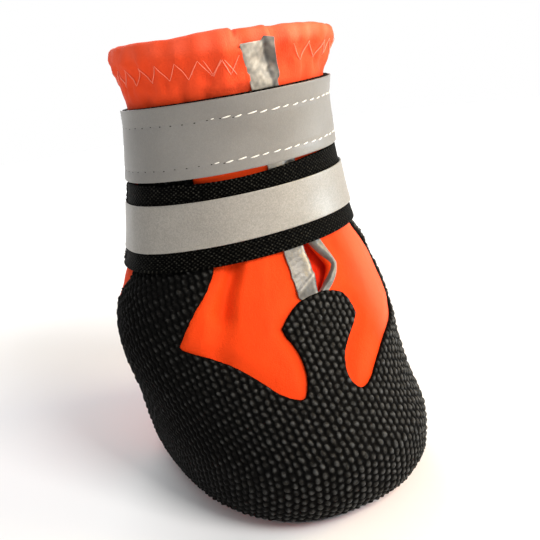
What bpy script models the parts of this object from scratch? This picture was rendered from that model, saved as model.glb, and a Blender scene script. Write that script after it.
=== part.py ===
# Dog boot: a soft neoprene boot with a black mesh skin, a front split
# closed by a folded gusset, two reflective straps and a rubber tread sole.
# Metres, +Z up, toe towards -Y. The boot's right side is -X.

import bpy
import bmesh
import math
from collections import namedtuple
from mathutils import Vector

# Driving sizes
FOOT_LENGTH = 0.1023
FOOT_WIDTH = 0.0844
BOOT_HEIGHT = 0.1262
GAP = 0.0003

# Upper: neoprene wall and the margin turned in under the foot
WALL = 0.0022
MARGIN_THICK = 0.0014
MARGIN_WIDTH = 0.0075
COLLAR_SIDE_DROP = 0.031
COLLAR_BACK_DROP = 0.031
COLLAR_DROP_STARTS = 0.094

# Mesh skin over toe and sides
MESH_THICK = 0.0008
MESH_OUT = 0.0005
MESH_TOP = 0.096
MESH_EVEN = 86.0
PATTERN_LEAN = 0.10

# Front split, measured along the surface
SPLIT_END = 0.0545
SPLIT_WIDE_AT = 0.0603
SPLIT_NARROW_AT = 0.0680
SPLIT_CLOSED_AT = 0.0900
SPLIT_WIDE = 0.0074
SPLIT_NARROW = 0.0038
SPLIT_CLOSED = 0.0014
BINDING_THICK = 0.0004
BINDING_GAP = 0.0005
BINDING_BOTTOM = 0.0568
BINDING_RIGHT_WIDTH = 0.0072
BINDING_LEFT_WIDTH = 0.0034
BINDING_LEFT_TOP = 0.0880
BINDING_INSET = 0.0002

# Gusset behind the split
GUSSET_THICK = 0.0010
GUSSET_GAP = 0.0005
GUSSET_WIDTH = 0.024
GUSSET_BOTTOM = 0.047
GUSSET_TOP = 0.119
GUSSET_FOLD = 0.0016

# Straps
STRAP_THICK = 0.0008
STRAP_CLEAR = 0.0006
LOWER_STRAP_BOTTOM = 0.0669
LOWER_STRAP_HEIGHT = 0.0242
UPPER_STRAP_BOTTOM = 0.0919
UPPER_STRAP_HEIGHT = 0.0204
STRAP_FRONT_RISE = 0.066
STRAP_SIDE_RISE = 0.025
STRAP_START = -110.0
STRAP_RAMP_START = 84.0
STRAP_RAMP_END = 97.0
TAB_LIFTS = 112.0
TAB_END = 127.0
TAB_LIFT = 0.0036
LOOP_START = 99.0
LOOP_THICK = 0.0012
LOOP_MARGIN = 0.0010
LOOP_MEETS = 1.0
TAPE_THICK = 0.0004
TAPE_START = -108.0
TAPE_END = 76.0
LOWER_TAPE_SHIFT = 0.0054
LOWER_TAPE_HEIGHT = 0.0129
UPPER_TAPE_SHIFT = 0.0
UPPER_TAPE_HEIGHT = 0.0197

# Sole
SOLE_THICK = 0.0028
SOLE_INSET = 0.0028
SOLE_EDGE = 0.0006
TREAD_DEPTH = 0.0012
TREAD_PITCH = 0.0029
TREAD_GROOVE = 0.0013
TREAD_ZIGZAG = 0.0165
TREAD_RISE = 0.0058
TREAD_RIM = 0.0026
BOSS_LENGTH = 0.0150
BOSS_WIDTH = 0.0110
BOSS_FROM_HEEL = 0.0180
BOSS_CLEAR = 0.0012

# Insole
INSOLE_THICK = 0.0022

# Cutters reach this far past what they cut
CUT_BEYOND = 0.003

# Facets
AROUND = 48
RISE_STEP = 0.0100

# One row for each level section of the last. height is a share of
# BOOT_HEIGHT. front, back and wide are shares of FOOT_LENGTH, along Y:
# where the toe side ends, where the heel side ends, and where it is widest.
# half and aside are shares of FOOT_WIDTH: half the width, and how far the
# section stands to +X. roundness 2 is an ellipse, more is squarer. turn is
# how far the middle of the pattern has wandered from the toe, in degrees.
Section = namedtuple("Section", "height front back wide half aside roundness turn")
SECTIONS = [
    Section(0.025, -0.452, 0.489, 0.013, 0.410, 0.005, 2.40, -2.0),
    Section(0.071, -0.484, 0.505, 0.013, 0.438, 0.007, 2.35, -2.0),
    Section(0.143, -0.495, 0.505, 0.013, 0.453, 0.002, 2.25, -2.0),
    Section(0.214, -0.436, 0.496, 0.018, 0.461, -0.006, 2.12, -2.0),
    Section(0.270, -0.379, 0.487, 0.028, 0.475, -0.009, 2.06, -2.0),
    Section(0.315, -0.329, 0.479, 0.041, 0.492, -0.005, 2.02, -0.2),
    Section(0.365, -0.267, 0.476, 0.059, 0.500, -0.001, 2.00, 4.6),
    Section(0.428, -0.205, 0.466, 0.077, 0.485, 0.001, 2.00, 10.8),
    Section(0.480, -0.166, 0.456, 0.091, 0.460, 0.009, 2.00, 16.0),
    Section(0.535, -0.134, 0.448, 0.103, 0.410, 0.019, 2.00, 13.2),
    Section(0.643, -0.108, 0.428, 0.113, 0.379, 0.024, 2.00, 11.3),
    Section(0.754, -0.114, 0.410, 0.113, 0.351, 0.024, 2.00, 9.0),
    Section(0.857, -0.142, 0.404, 0.113, 0.334, 0.024, 2.00, 4.5),
    Section(1.000, -0.208, 0.414, 0.113, 0.372, 0.024, 2.00, -2.0),
]

# Orange window on each side of the split, mirrored about the pattern's
# middle: inner and outer are degrees from that middle, height is a share
# of BOOT_HEIGHT. Below the split the window is a lobe with a round tip.
Window = namedtuple("Window", "height inner outer")
WINDOW = [
    Window(0.266, 11.6, 13.0),
    Window(0.270, 10.2, 16.0),
    Window(0.280, 8.9, 19.8),
    Window(0.293, 8.1, 22.8),
    Window(0.306, 7.9, 26.5),
    Window(0.320, 8.2, 31.0),
    Window(0.331, 8.9, 35.5),
    Window(0.342, 10.1, 43.0),
    Window(0.353, 11.8, 54.5),
    Window(0.358, 12.6, 56.8),
    Window(0.372, 15.2, 56.0),
    Window(0.387, 17.0, 55.3),
    Window(0.405, 15.2, 54.3),
    Window(0.420, 13.0, 53.6),
    Window(0.431, 10.4, 53.3),
    Window(0.438, 6.0, 53.1),
    Window(0.443, -0.8, 53.0),
    Window(0.480, -0.8, 52.5),
    Window(0.520, -0.8, 49.0),
    Window(0.600, -0.8, 49.0),
    Window(0.680, -0.8, 53.0),
    Window(0.800, -0.8, 58.0),
]

# Rear edge of the mesh skin: degrees from the toe, on both sides
RearEdge = namedtuple("RearEdge", "height angle")
REAR_EDGE = [
    RearEdge(0.025, 106.0),
    RearEdge(0.080, 113.0),
    RearEdge(0.200, 118.0),
    RearEdge(0.360, 112.0),
    RearEdge(0.430, 106.0),
    RearEdge(0.480, 99.0),
    RearEdge(0.530, 95.0),
    RearEdge(0.780, 95.0),
]

# Sizes that follow
UPPER_OUT = MESH_OUT - MESH_THICK - GAP
UPPER_BOTTOM = SOLE_THICK + GAP
BINDING_IN = UPPER_OUT + BINDING_GAP
STRAP_IN = MESH_OUT + STRAP_CLEAR
TAPE_IN = STRAP_IN + STRAP_THICK + GAP
INSOLE_BOTTOM = SOLE_THICK + GAP
INSOLE_STEP = UPPER_BOTTOM + MARGIN_THICK + GAP


def curve(rows, name, height):
    """Smooth value of one named column at a height in metres."""
    at = [row.height * BOOT_HEIGHT for row in rows]
    value = [getattr(row, name) for row in rows]
    last = len(rows) - 1
    if height <= at[0]:
        return value[0]
    if height >= at[last]:
        return value[last]
    i = max(k for k in range(last) if at[k] <= height)
    slope = [(value[k + 1] - value[k]) / (at[k + 1] - at[k]) for k in range(last)]

    def tangent(k):
        if k == 0 or k == last:
            return slope[min(k, last - 1)]
        if slope[k - 1] * slope[k] <= 0:
            return 0.0
        return 2 * slope[k - 1] * slope[k] / (slope[k - 1] + slope[k])

    span = at[i + 1] - at[i]
    s = (height - at[i]) / span
    rise = value[i + 1] - value[i]
    start = tangent(i) * span
    end = tangent(i + 1) * span
    return value[i] + start * s + (3 * rise - 2 * start - end) * s * s \
        + (start + end - 2 * rise) * s * s * s


def last_point(angle, height):
    """Point of the last at an angle from the toe, + towards +X."""
    front = curve(SECTIONS, "front", height) * FOOT_LENGTH
    back = curve(SECTIONS, "back", height) * FOOT_LENGTH
    wide = curve(SECTIONS, "wide", height) * FOOT_LENGTH
    half = curve(SECTIONS, "half", height) * FOOT_WIDTH
    aside = curve(SECTIONS, "aside", height) * FOOT_WIDTH
    power = 2.0 / curve(SECTIONS, "roundness", height)
    c = math.cos(math.radians(angle))
    s = math.sin(math.radians(angle))
    reach = wide - front if c > 0 else back - wide
    x = aside + half * math.copysign(abs(s) ** power, s)
    y = wide - reach * math.copysign(abs(c) ** power, c)
    return Vector((x, y, height))


def surface(angle, height, out):
    """Point of the last moved out along its normal."""
    turn = 0.5
    lift = 0.0005
    around = last_point(angle + turn, height) - last_point(angle - turn, height)
    up = last_point(angle, height + lift) - last_point(angle, height - lift)
    return last_point(angle, height) + around.cross(up).normalized() * out


def level_ring(height, out):
    """Ring of points of the moved surface that all lie at one height."""
    ring = []
    for angle in around_angles():
        at = height
        for _ in range(6):
            at += height - surface(angle, at, out).z
        point = surface(angle, at, out)
        point.z = height
        ring.append(point)
    return ring


def middle(height):
    """Angle of the pattern's middle at a height."""
    return curve(SECTIONS, "turn", height)


def leaned(angle, height, out):
    """Pattern point: lines that run round the boot drop towards +X."""
    drop = PATTERN_LEAN * last_point(angle, height).x
    return surface(angle, height - drop, out)


def strap_point(angle, height, out):
    """Strap point: straps rise to the front and to one side."""
    at = last_point(angle, height)
    rise = STRAP_SIDE_RISE * at.x - STRAP_FRONT_RISE * at.y
    return surface(angle, height + rise, out)


def collar_point(angle, height, out):
    """Upper point: the collar drops to the back and to one side."""
    point = surface(angle, height, out)
    share = (height - COLLAR_DROP_STARTS) / (BOOT_HEIGHT - COLLAR_DROP_STARTS)
    share = max(0.0, share)
    point.z -= share * (COLLAR_SIDE_DROP * point.x + COLLAR_BACK_DROP * point.y)
    return point


def degrees_across(height, width):
    """Angle that a width along the surface takes near the pattern's middle."""
    at = middle(height)
    across = last_point(at + 1, height) - last_point(at - 1, height)
    return 2 * width / across.length


def steps(start, end, size):
    """Even values from start to end, at most size apart."""
    count = max(1, math.ceil(abs(end - start) / size - 1e-6))
    return [start + (end - start) * k / count for k in range(count + 1)]


def section_heights(low, top):
    """Heights from low to top: each section, and halfway along tall steps."""
    heights = [low]
    for row in SECTIONS:
        h = row.height * BOOT_HEIGHT
        if h <= low + GAP or h > top + GAP:
            continue
        heights += steps(heights[-1], h, RISE_STEP)[1:]
    if heights[-1] < top - GAP:
        heights.append(top)
    return heights


def finish(name, bm, material):
    """Make an object of a mesh, facing out, with its material."""
    bmesh.ops.recalc_face_normals(bm, faces=bm.faces)
    mesh = bpy.data.meshes.new(name)
    bm.to_mesh(mesh)
    bm.free()
    mesh.shade_smooth()
    mesh.set_sharp_from_angle(angle=math.radians(40))
    obj = bpy.data.objects.new(name, mesh)
    bpy.context.scene.collection.objects.link(obj)
    if material:
        mesh.materials.append(material)
    return obj


def patch(name, outer, inner, material=None):
    """Closed sheet between two grids of points, rows by columns."""
    bm = bmesh.new()
    rows = len(outer)
    columns = len(outer[0])
    top = [[bm.verts.new(p) for p in row] for row in outer]
    low = [[bm.verts.new(p) for p in row] for row in inner]
    for r in range(rows - 1):
        for c in range(columns - 1):
            bm.faces.new((top[r][c], top[r][c + 1], top[r + 1][c + 1], top[r + 1][c]))
            bm.faces.new((low[r][c], low[r + 1][c], low[r + 1][c + 1], low[r][c + 1]))
    for r in range(rows - 1):
        for c in (0, columns - 1):
            bm.faces.new((top[r][c], top[r + 1][c], low[r + 1][c], low[r][c]))
    for c in range(columns - 1):
        for r in (0, rows - 1):
            bm.faces.new((top[r][c], top[r][c + 1], low[r][c + 1], low[r][c]))
    return finish(name, bm, material)


def rings(name, loops, material):
    """Closed body through rings of points; the last ring joins the first."""
    bm = bmesh.new()
    verts = [[bm.verts.new(p) for p in loop] for loop in loops]
    for a, b in zip(verts, verts[1:] + verts[:1]):
        for c in range(len(a)):
            d = (c + 1) % len(a)
            bm.faces.new((a[c], a[d], b[d], b[c]))
    return finish(name, bm, material)


def stack(name, loops, material):
    """Solid through rings of points with a flat cap on each end."""
    bm = bmesh.new()
    verts = [[bm.verts.new(p) for p in loop] for loop in loops]
    for a, b in zip(verts, verts[1:]):
        for c in range(len(a)):
            d = (c + 1) % len(a)
            bm.faces.new((a[c], a[d], b[d], b[c]))
    bm.faces.new(verts[0])
    bm.faces.new(verts[-1])
    return finish(name, bm, material)


def cut(obj, cutter):
    """Boolean difference that stays on the object."""
    cutter.hide_render = True
    cutter.display_type = "WIRE"
    modifier = obj.modifiers.new("cut_" + cutter.name, "BOOLEAN")
    modifier.operation = "DIFFERENCE"
    modifier.solver = "EXACT"
    modifier.use_self = True
    modifier.object = cutter


def material(name, colour, roughness, metallic=0.0):
    made = bpy.data.materials.new(name)
    made.use_nodes = True
    shader = made.node_tree.nodes["Principled BSDF"]
    shader.inputs["Base Color"].default_value = (*colour, 1.0)
    shader.inputs["Roughness"].default_value = roughness
    shader.inputs["Metallic"].default_value = metallic
    made.diffuse_color = (*colour, 1.0)
    return made


def around_angles():
    """Angles of one full ring."""
    return [360.0 * k / AROUND for k in range(AROUND)]


def split_half_width(height):
    """Half the split's width at a height, in metres along the surface."""
    if height < SPLIT_WIDE_AT:
        share = (height - SPLIT_END) / (SPLIT_WIDE_AT - SPLIT_END)
        return SPLIT_WIDE / 2 * math.sqrt(max(0.01, share))
    if height < SPLIT_NARROW_AT:
        share = (height - SPLIT_WIDE_AT) / (SPLIT_NARROW_AT - SPLIT_WIDE_AT)
        return (SPLIT_WIDE + (SPLIT_NARROW - SPLIT_WIDE) * share) / 2
    share = min(1.0, (height - SPLIT_NARROW_AT) / (SPLIT_CLOSED_AT - SPLIT_NARROW_AT))
    return (SPLIT_NARROW + (SPLIT_CLOSED - SPLIT_NARROW) * share) / 2


def split_heights(bottom, top):
    """Heights of the rows that follow the split."""
    wide = (SPLIT_WIDE_AT - SPLIT_END) / 3
    narrow = (SPLIT_NARROW_AT - SPLIT_WIDE_AT) / 2
    return steps(bottom, SPLIT_WIDE_AT, wide) \
        + steps(SPLIT_WIDE_AT, SPLIT_NARROW_AT, narrow)[1:] \
        + steps(SPLIT_NARROW_AT, top, RISE_STEP)[1:]


def make_upper(orange):
    """Hollow neoprene upper, open at collar, split and underneath."""
    low = UPPER_BOTTOM
    high = UPPER_BOTTOM + MARGIN_THICK
    inner = UPPER_OUT - WALL
    loops = [level_ring(low, UPPER_OUT)]
    for h in section_heights(low, BOOT_HEIGHT)[1:]:
        loops.append([collar_point(a, h, UPPER_OUT) for a in around_angles()])
    for h in reversed(section_heights(high, BOOT_HEIGHT)[1:]):
        loops.append([collar_point(a, h, inner) for a in around_angles()])
    loops.append(level_ring(high, inner))
    loops.append(foot_ring(high, UPPER_OUT - MARGIN_WIDTH))
    loops.append(foot_ring(low, UPPER_OUT - MARGIN_WIDTH))
    upper = rings("upper", loops, orange)
    rows_out = []
    rows_in = []
    for h in split_heights(SPLIT_END, BOOT_HEIGHT + CUT_BEYOND):
        level = min(h, BOOT_HEIGHT)
        half = degrees_across(level, split_half_width(level))
        angles = [middle(level) - half, middle(level), middle(level) + half]
        rise = Vector((0, 0, h - level))
        rows_out.append([collar_point(a, level, CUT_BEYOND) + rise for a in angles])
        rows_in.append([collar_point(a, level, -WALL - CUT_BEYOND) + rise for a in angles])
    cut(upper, patch("split_cutter", rows_out, rows_in))
    return upper


def make_mesh_skin(mesh_black):
    """Mesh skin of toe, keyhole and sides, with an orange window each side."""
    rows_out = []
    rows_in = []
    for h in section_heights(UPPER_BOTTOM, MESH_TOP):
        edge = curve(REAR_EDGE, "angle", h)
        inside = [a - 180 for a in around_angles() if abs(a - 180) < MESH_EVEN]
        beyond = steps(inside[-1], edge, (edge - inside[-1]) / 4)[1:]
        angles = [-a for a in reversed(beyond)] + inside + beyond
        rows_out.append([surface(a, h, MESH_OUT) for a in angles])
        rows_in.append([surface(a, h, MESH_OUT - MESH_THICK) for a in angles])
    for row in (rows_out[0], rows_in[0]):
        for point in row:
            point.z = UPPER_BOTTOM
    skin = patch("mesh_skin", rows_out, rows_in, mesh_black)
    for side in (-1, 1):
        cut_out = []
        cut_in = []
        for row in WINDOW:
            h = row.height * BOOT_HEIGHT
            start = middle(h) + side * row.inner
            end = middle(h) + side * row.outer
            angles = [start + (end - start) * k / 6 for k in range(7)]
            cut_out.append([leaned(a, h, CUT_BEYOND) for a in angles])
            cut_in.append([leaned(a, h, -CUT_BEYOND) for a in angles])
        name = "window_cutter_" + ("left" if side > 0 else "right")
        cut(skin, patch(name, cut_out, cut_in))
    return skin


def make_binding(name, side, width, top, grey):
    """Reflective strip along one edge of the split."""
    rows_out = []
    rows_in = []
    for h in split_heights(BINDING_BOTTOM, top):
        half = split_half_width(h) + BINDING_INSET
        near = middle(h) + side * degrees_across(h, half)
        far = middle(h) + side * degrees_across(h, half + width)
        angles = [near, (near + far) / 2, far]
        rows_out.append([collar_point(a, h, BINDING_IN + BINDING_THICK) for a in angles])
        rows_in.append([collar_point(a, h, BINDING_IN) for a in angles])
    return patch(name, rows_out, rows_in, grey)


def make_gusset(orange):
    """Folded gusset behind the split, with one soft ridge into the split."""
    rows_out = []
    rows_in = []
    under = UPPER_OUT - WALL - GUSSET_GAP
    for h in section_heights(GUSSET_BOTTOM, GUSSET_TOP):
        half = degrees_across(h, GUSSET_WIDTH / 2)
        shares = [-1, -0.6, -0.3, 0, 0.3, 0.6, 1]
        depths = [-GUSSET_FOLD * (1 - s * s) for s in shares]
        angles = [middle(h) + s * half for s in shares]
        rows_out.append([collar_point(a, h, under + d) for a, d in zip(angles, depths)])
        rows_in.append([collar_point(a, h, under + d - GUSSET_THICK)
                        for a, d in zip(angles, depths)])
    return patch("gusset", rows_out, rows_in, orange)


def strap_out(angle):
    """How far a strap's inner face stands off the last at an angle."""
    share = (angle - STRAP_RAMP_START) / (STRAP_RAMP_END - STRAP_RAMP_START)
    share = min(1.0, max(0.0, share))
    share = share * share * (3 - 2 * share)
    lift = max(0.0, (angle - TAB_LIFTS) / (TAB_END - TAB_LIFTS)) ** 2
    return STRAP_IN + share * (LOOP_THICK + GAP) + lift * TAB_LIFT


def band(name, heights, angles, out, thick, made):
    """Band round the shaft; out gives its inner face at each angle."""
    rows_out = []
    rows_in = []
    for h in heights:
        rows_out.append([strap_point(a, h, out(a) + thick) for a in angles])
        rows_in.append([strap_point(a, h, out(a)) for a in angles])
    return patch(name, rows_out, rows_in, made)


def make_strap(name, bottom, height, shift, tape_height, webbing, tape, loop):
    """Strap of webbing with its tape in front and its loop band behind."""
    step = 360.0 / AROUND
    top = bottom + height
    run = steps(STRAP_START, STRAP_RAMP_START, step) \
        + steps(STRAP_RAMP_START, STRAP_RAMP_END, step / 2)[1:] \
        + steps(STRAP_RAMP_END, TAB_END, step / 1.5)[1:]
    taped = steps(bottom + shift, bottom + shift + tape_height, RISE_STEP)
    heights = sorted({bottom, *taped, top})
    band(name, heights, run, strap_out, STRAP_THICK, webbing)
    band(name + "_tape", taped, steps(TAPE_START, TAPE_END, step),
         lambda a: TAPE_IN, TAPE_THICK, tape)
    piled = steps(bottom + LOOP_MARGIN, top - LOOP_MARGIN, RISE_STEP)
    behind = steps(LOOP_START, 360 + STRAP_START - LOOP_MEETS, step)
    band(name + "_loop_band", piled, behind, lambda a: STRAP_IN, LOOP_THICK, loop)


def foot_ring(height, out):
    """Level ring of the last near the floor, moved out level."""
    loop = []
    for a in around_angles():
        at = last_point(a, UPPER_BOTTOM)
        around = last_point(a + 0.5, UPPER_BOTTOM) - last_point(a - 0.5, UPPER_BOTTOM)
        away = Vector((around.y, -around.x, 0)).normalized()
        loop.append(Vector((at.x, at.y, 0)) + away * out + Vector((0, 0, height)))
    return loop


def inside_sole(x, y, inset):
    """True where a point lies inside the sole's outline by an inset."""
    front = curve(SECTIONS, "front", UPPER_BOTTOM) * FOOT_LENGTH + inset
    back = curve(SECTIONS, "back", UPPER_BOTTOM) * FOOT_LENGTH - inset
    wide = curve(SECTIONS, "wide", UPPER_BOTTOM) * FOOT_LENGTH
    half = curve(SECTIONS, "half", UPPER_BOTTOM) * FOOT_WIDTH - inset
    aside = curve(SECTIONS, "aside", UPPER_BOTTOM) * FOOT_WIDTH
    power = curve(SECTIONS, "roundness", UPPER_BOTTOM)
    reach = wide - front if y < wide else back - wide
    return abs((x - aside) / half) ** power + abs((y - wide) / reach) ** power < 1


def boss_centre():
    return last_point(180, UPPER_BOTTOM).y - SOLE_INSET - BOSS_FROM_HEEL


def inside_boss(x, y):
    """True near the bare oval under the heel."""
    a = BOSS_LENGTH / 2 + BOSS_CLEAR
    b = BOSS_WIDTH / 2 + BOSS_CLEAR
    return (x / a) ** 2 + ((y - boss_centre()) / b) ** 2 < 1


def zigzag(x):
    """Offset of a tread groove along Y at x."""
    phase = abs((x / TREAD_ZIGZAG) % 1.0 - 0.5) * 2
    return (phase - 0.5) * TREAD_RISE


def groove_runs(y):
    """Stretches of one zigzag groove that stay on the sole, as x ranges."""
    fine = 0.0002
    count = int(FOOT_WIDTH / fine)
    runs = []
    start = None
    for k in range(count + 1):
        x = (k - count / 2) * fine
        at = y + zigzag(x)
        reach = TREAD_GROOVE / 2
        open_here = inside_sole(x, at - reach, SOLE_INSET + TREAD_RIM) \
            and inside_sole(x, at + reach, SOLE_INSET + TREAD_RIM) \
            and not inside_boss(x, at)
        if open_here and start is None:
            start = x
        if start is not None and not open_here:
            if x - start > 2 * TREAD_GROOVE:
                runs.append((start, x - fine))
            start = None
    return runs


def make_sole(rubber):
    """Rubber sole with zigzag tread grooves and a bare oval under the heel."""
    out = -SOLE_INSET
    loops = [foot_ring(0, out - SOLE_EDGE), foot_ring(SOLE_EDGE, out), foot_ring(SOLE_THICK, out)]
    sole = stack("outsole", loops, rubber)
    bm = bmesh.new()
    half_step = TREAD_ZIGZAG / 2
    for k in range(-20, 21):
        y = k * TREAD_PITCH
        for start, end in groove_runs(y):
            corners = [i * half_step for i in range(-12, 13)]
            keep = half_step * 0.12
            xs = [start] + [x for x in corners if start + keep < x < end - keep] + [end]
            lines = []
            for dy, z in ((-1, -1), (1, -1), (1, 1), (-1, 1)):
                z = TREAD_DEPTH if z > 0 else -TREAD_DEPTH
                lines.append([bm.verts.new((x, y + zigzag(x) + dy * TREAD_GROOVE / 2, z))
                              for x in xs])
            for a, b in zip(lines, lines[1:] + lines[:1]):
                for c in range(len(xs) - 1):
                    bm.faces.new((a[c], a[c + 1], b[c + 1], b[c]))
            bm.faces.new([line[0] for line in lines])
            bm.faces.new([line[-1] for line in reversed(lines)])
    cut(sole, finish("tread_cutter", bm, None))
    return sole


def make_insole(foam):
    """Foam insole: full outline above the turned margin, less between it."""
    core = UPPER_OUT - MARGIN_WIDTH - GAP
    full = UPPER_OUT - WALL - GAP
    top = INSOLE_STEP + INSOLE_THICK
    loops = [foot_ring(INSOLE_BOTTOM, core), foot_ring(INSOLE_STEP, core)]
    loops += [level_ring(INSOLE_STEP, full), level_ring(top, full)]
    return stack("insole", loops, foam)


def main():
    for obj in list(bpy.data.objects):
        bpy.data.objects.remove(obj, do_unlink=True)
    orange = material("neoprene_orange", (0.90, 0.09, 0.015), 0.75)
    fold_orange = material("gusset_orange", (0.80, 0.06, 0.015), 0.70)
    mesh_black = material("mesh_black", (0.014, 0.015, 0.018), 0.55)
    webbing = material("webbing_black", (0.012, 0.012, 0.013), 0.60)
    loop = material("loop_black", (0.012, 0.012, 0.016), 0.90)
    grey = material("reflective_grey", (0.42, 0.39, 0.35), 0.35, 0.2)
    rubber = material("rubber_black", (0.018, 0.022, 0.030), 0.45)
    foam = material("foam_black", (0.030, 0.030, 0.032), 0.90)

    make_sole(rubber)
    make_insole(foam)
    make_upper(orange)
    make_mesh_skin(mesh_black)
    make_gusset(fold_orange)
    make_binding("binding_right", -1, BINDING_RIGHT_WIDTH, BOOT_HEIGHT, grey)
    make_binding("binding_left", 1, BINDING_LEFT_WIDTH, BINDING_LEFT_TOP, grey)
    make_strap("lower_strap", LOWER_STRAP_BOTTOM, LOWER_STRAP_HEIGHT, LOWER_TAPE_SHIFT,
               LOWER_TAPE_HEIGHT, webbing, grey, loop)
    make_strap("upper_strap", UPPER_STRAP_BOTTOM, UPPER_STRAP_HEIGHT, UPPER_TAPE_SHIFT,
               UPPER_TAPE_HEIGHT, webbing, grey, loop)


main()
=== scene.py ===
import math

import bmesh
import bpy
import numpy as np
from mathutils import Matrix, Vector


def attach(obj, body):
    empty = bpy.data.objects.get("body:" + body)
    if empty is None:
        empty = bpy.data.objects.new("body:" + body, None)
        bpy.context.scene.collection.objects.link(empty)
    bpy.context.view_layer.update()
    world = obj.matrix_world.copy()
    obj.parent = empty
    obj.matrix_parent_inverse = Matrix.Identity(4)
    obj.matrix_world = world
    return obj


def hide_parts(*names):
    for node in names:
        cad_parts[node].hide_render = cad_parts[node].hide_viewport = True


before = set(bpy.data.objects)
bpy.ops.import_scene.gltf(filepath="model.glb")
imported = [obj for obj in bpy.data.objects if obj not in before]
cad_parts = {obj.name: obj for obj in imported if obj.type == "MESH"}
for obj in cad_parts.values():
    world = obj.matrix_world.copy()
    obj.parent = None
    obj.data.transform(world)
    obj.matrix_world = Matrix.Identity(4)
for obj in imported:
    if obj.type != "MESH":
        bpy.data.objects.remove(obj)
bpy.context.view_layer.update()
print("frame loaded")

mm = 0.001

boot = {
    "length": 0.1023,
    "width": 0.0844,
    "height": 0.1262,
    "upperBottom": 0.0031,
    "soleThick": 0.0028,
    "soleInset": 0.0028,
    "neopreneOut": -0.6 * mm,   # outer face of the neoprene, off the last
    "wall": 2.2 * mm,
    "lean": 0.10,               # pattern lines drop towards +X
    "leanFrom": 0.033,          # and lean fully from this height up
    "collarFrom": 0.094,        # the collar begins to slope here
    "collarSlope": 0.031,
    "strapTilt": 0.025,
    "strapRise": 0.066,
    "degreeSize": 0.70 * mm,    # about one degree along the surface
    "quickStep": 1,
}

# One row for each level section of the last: share of the height, then front, back and widest
# as shares of the length, half width and offset as shares of the width, roundness, and how far
# the pattern's middle turns from the toe in degrees
lastRows = np.array([
    (0.025, -0.452, 0.489, 0.013, 0.410, 0.005, 2.40, -2.0),
    (0.071, -0.484, 0.505, 0.013, 0.438, 0.007, 2.35, -2.0),
    (0.143, -0.495, 0.505, 0.013, 0.453, 0.002, 2.25, -2.0),
    (0.214, -0.436, 0.496, 0.018, 0.461, -0.006, 2.12, -2.0),
    (0.270, -0.379, 0.487, 0.028, 0.475, -0.009, 2.06, -2.0),
    (0.315, -0.329, 0.479, 0.041, 0.492, -0.005, 2.02, -0.2),
    (0.365, -0.267, 0.476, 0.059, 0.500, -0.001, 2.00, 4.6),
    (0.428, -0.205, 0.466, 0.077, 0.485, 0.001, 2.00, 10.8),
    (0.480, -0.166, 0.456, 0.091, 0.460, 0.009, 2.00, 16.0),
    (0.535, -0.134, 0.448, 0.103, 0.410, 0.019, 2.00, 13.2),
    (0.643, -0.108, 0.428, 0.113, 0.379, 0.024, 2.00, 11.3),
    (0.754, -0.114, 0.410, 0.113, 0.351, 0.024, 2.00, 9.0),
    (0.857, -0.142, 0.404, 0.113, 0.334, 0.024, 2.00, 4.5),
    (1.000, -0.208, 0.414, 0.113, 0.372, 0.024, 2.00, -2.0),
])


def smoothThrough(at, value, x):
    # smooth curve through the rows that never overshoots them
    slope = np.diff(value) / np.diff(at)
    before, after = slope[:-1], slope[1:]
    together = np.where(before * after > 0, before + after, 1)
    inner = np.where(before * after > 0, 2 * before * after / together, 0)
    tangent = np.concatenate((slope[:1], inner, slope[-1:]))
    x = np.clip(x, at[0], at[-1])
    i = np.clip(np.searchsorted(at, x, side="right") - 1, 0, len(at) - 2)
    span = at[i + 1] - at[i]
    s = (x - at[i]) / span
    rise = value[i + 1] - value[i]
    start = tangent[i] * span
    end = tangent[i + 1] * span
    return value[i] + start * s + (3 * rise - 2 * start - end) * s ** 2 + (start + end - 2 * rise) * s ** 3


def lastColumn(column, height):
    return smoothThrough(lastRows[:, 0] * boot["height"], lastRows[:, column], height)


def patternMiddle(height):
    return lastColumn(7, height)


def grids(*values):
    # one shape for values given singly, by row or by point
    return np.broadcast_arrays(*(np.asarray(value, float) for value in values))


def lastPoint(angle, height):
    # angle 0 is the toe and + turns towards +X
    angle, height = grids(angle, height)
    front = lastColumn(1, height) * boot["length"]
    back = lastColumn(2, height) * boot["length"]
    wide = lastColumn(3, height) * boot["length"]
    half = lastColumn(4, height) * boot["width"]
    aside = lastColumn(5, height) * boot["width"]
    power = 2 / lastColumn(6, height)
    c = np.cos(np.radians(angle))
    s = np.sin(np.radians(angle))
    reach = np.where(c > 0, wide - front, back - wide)
    x = aside + half * np.sign(s) * np.abs(s) ** power
    y = wide - reach * np.sign(c) * np.abs(c) ** power
    return np.stack((x, y, height), axis=-1)


def lastNormal(angle, height):
    around = lastPoint(angle + 0.5, height) - lastPoint(angle - 0.5, height)
    up = lastPoint(angle, height + 0.5 * mm) - lastPoint(angle, height - 0.5 * mm)
    across = np.cross(around, up)
    return across / np.linalg.norm(across, axis=-1, keepdims=True)


def onLast(angle, height, out):
    angle, height, out = grids(angle, height, out)
    return lastPoint(angle, height) + lastNormal(angle, height) * out[..., None]


def onCollar(angle, height, out):
    # the collar's edge drops to the back and to one side
    point = onLast(angle, height, out)
    low = boot["collarFrom"]
    slope = boot["collarSlope"]
    share = np.maximum(0, (np.asarray(height, float) - low) / (boot["height"] - low))
    point[..., 2] -= share * (slope * point[..., 0] + slope * point[..., 1])
    return point


def strapHeight(angle, height):
    # straps rise to the front and to one side
    at = lastPoint(angle, height)
    return height + boot["strapTilt"] * at[..., 0] - boot["strapRise"] * at[..., 1]


def onStrap(angle, height, out):
    angle, height, out = grids(angle, height, out)
    return onLast(angle, strapHeight(angle, height), out)


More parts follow.
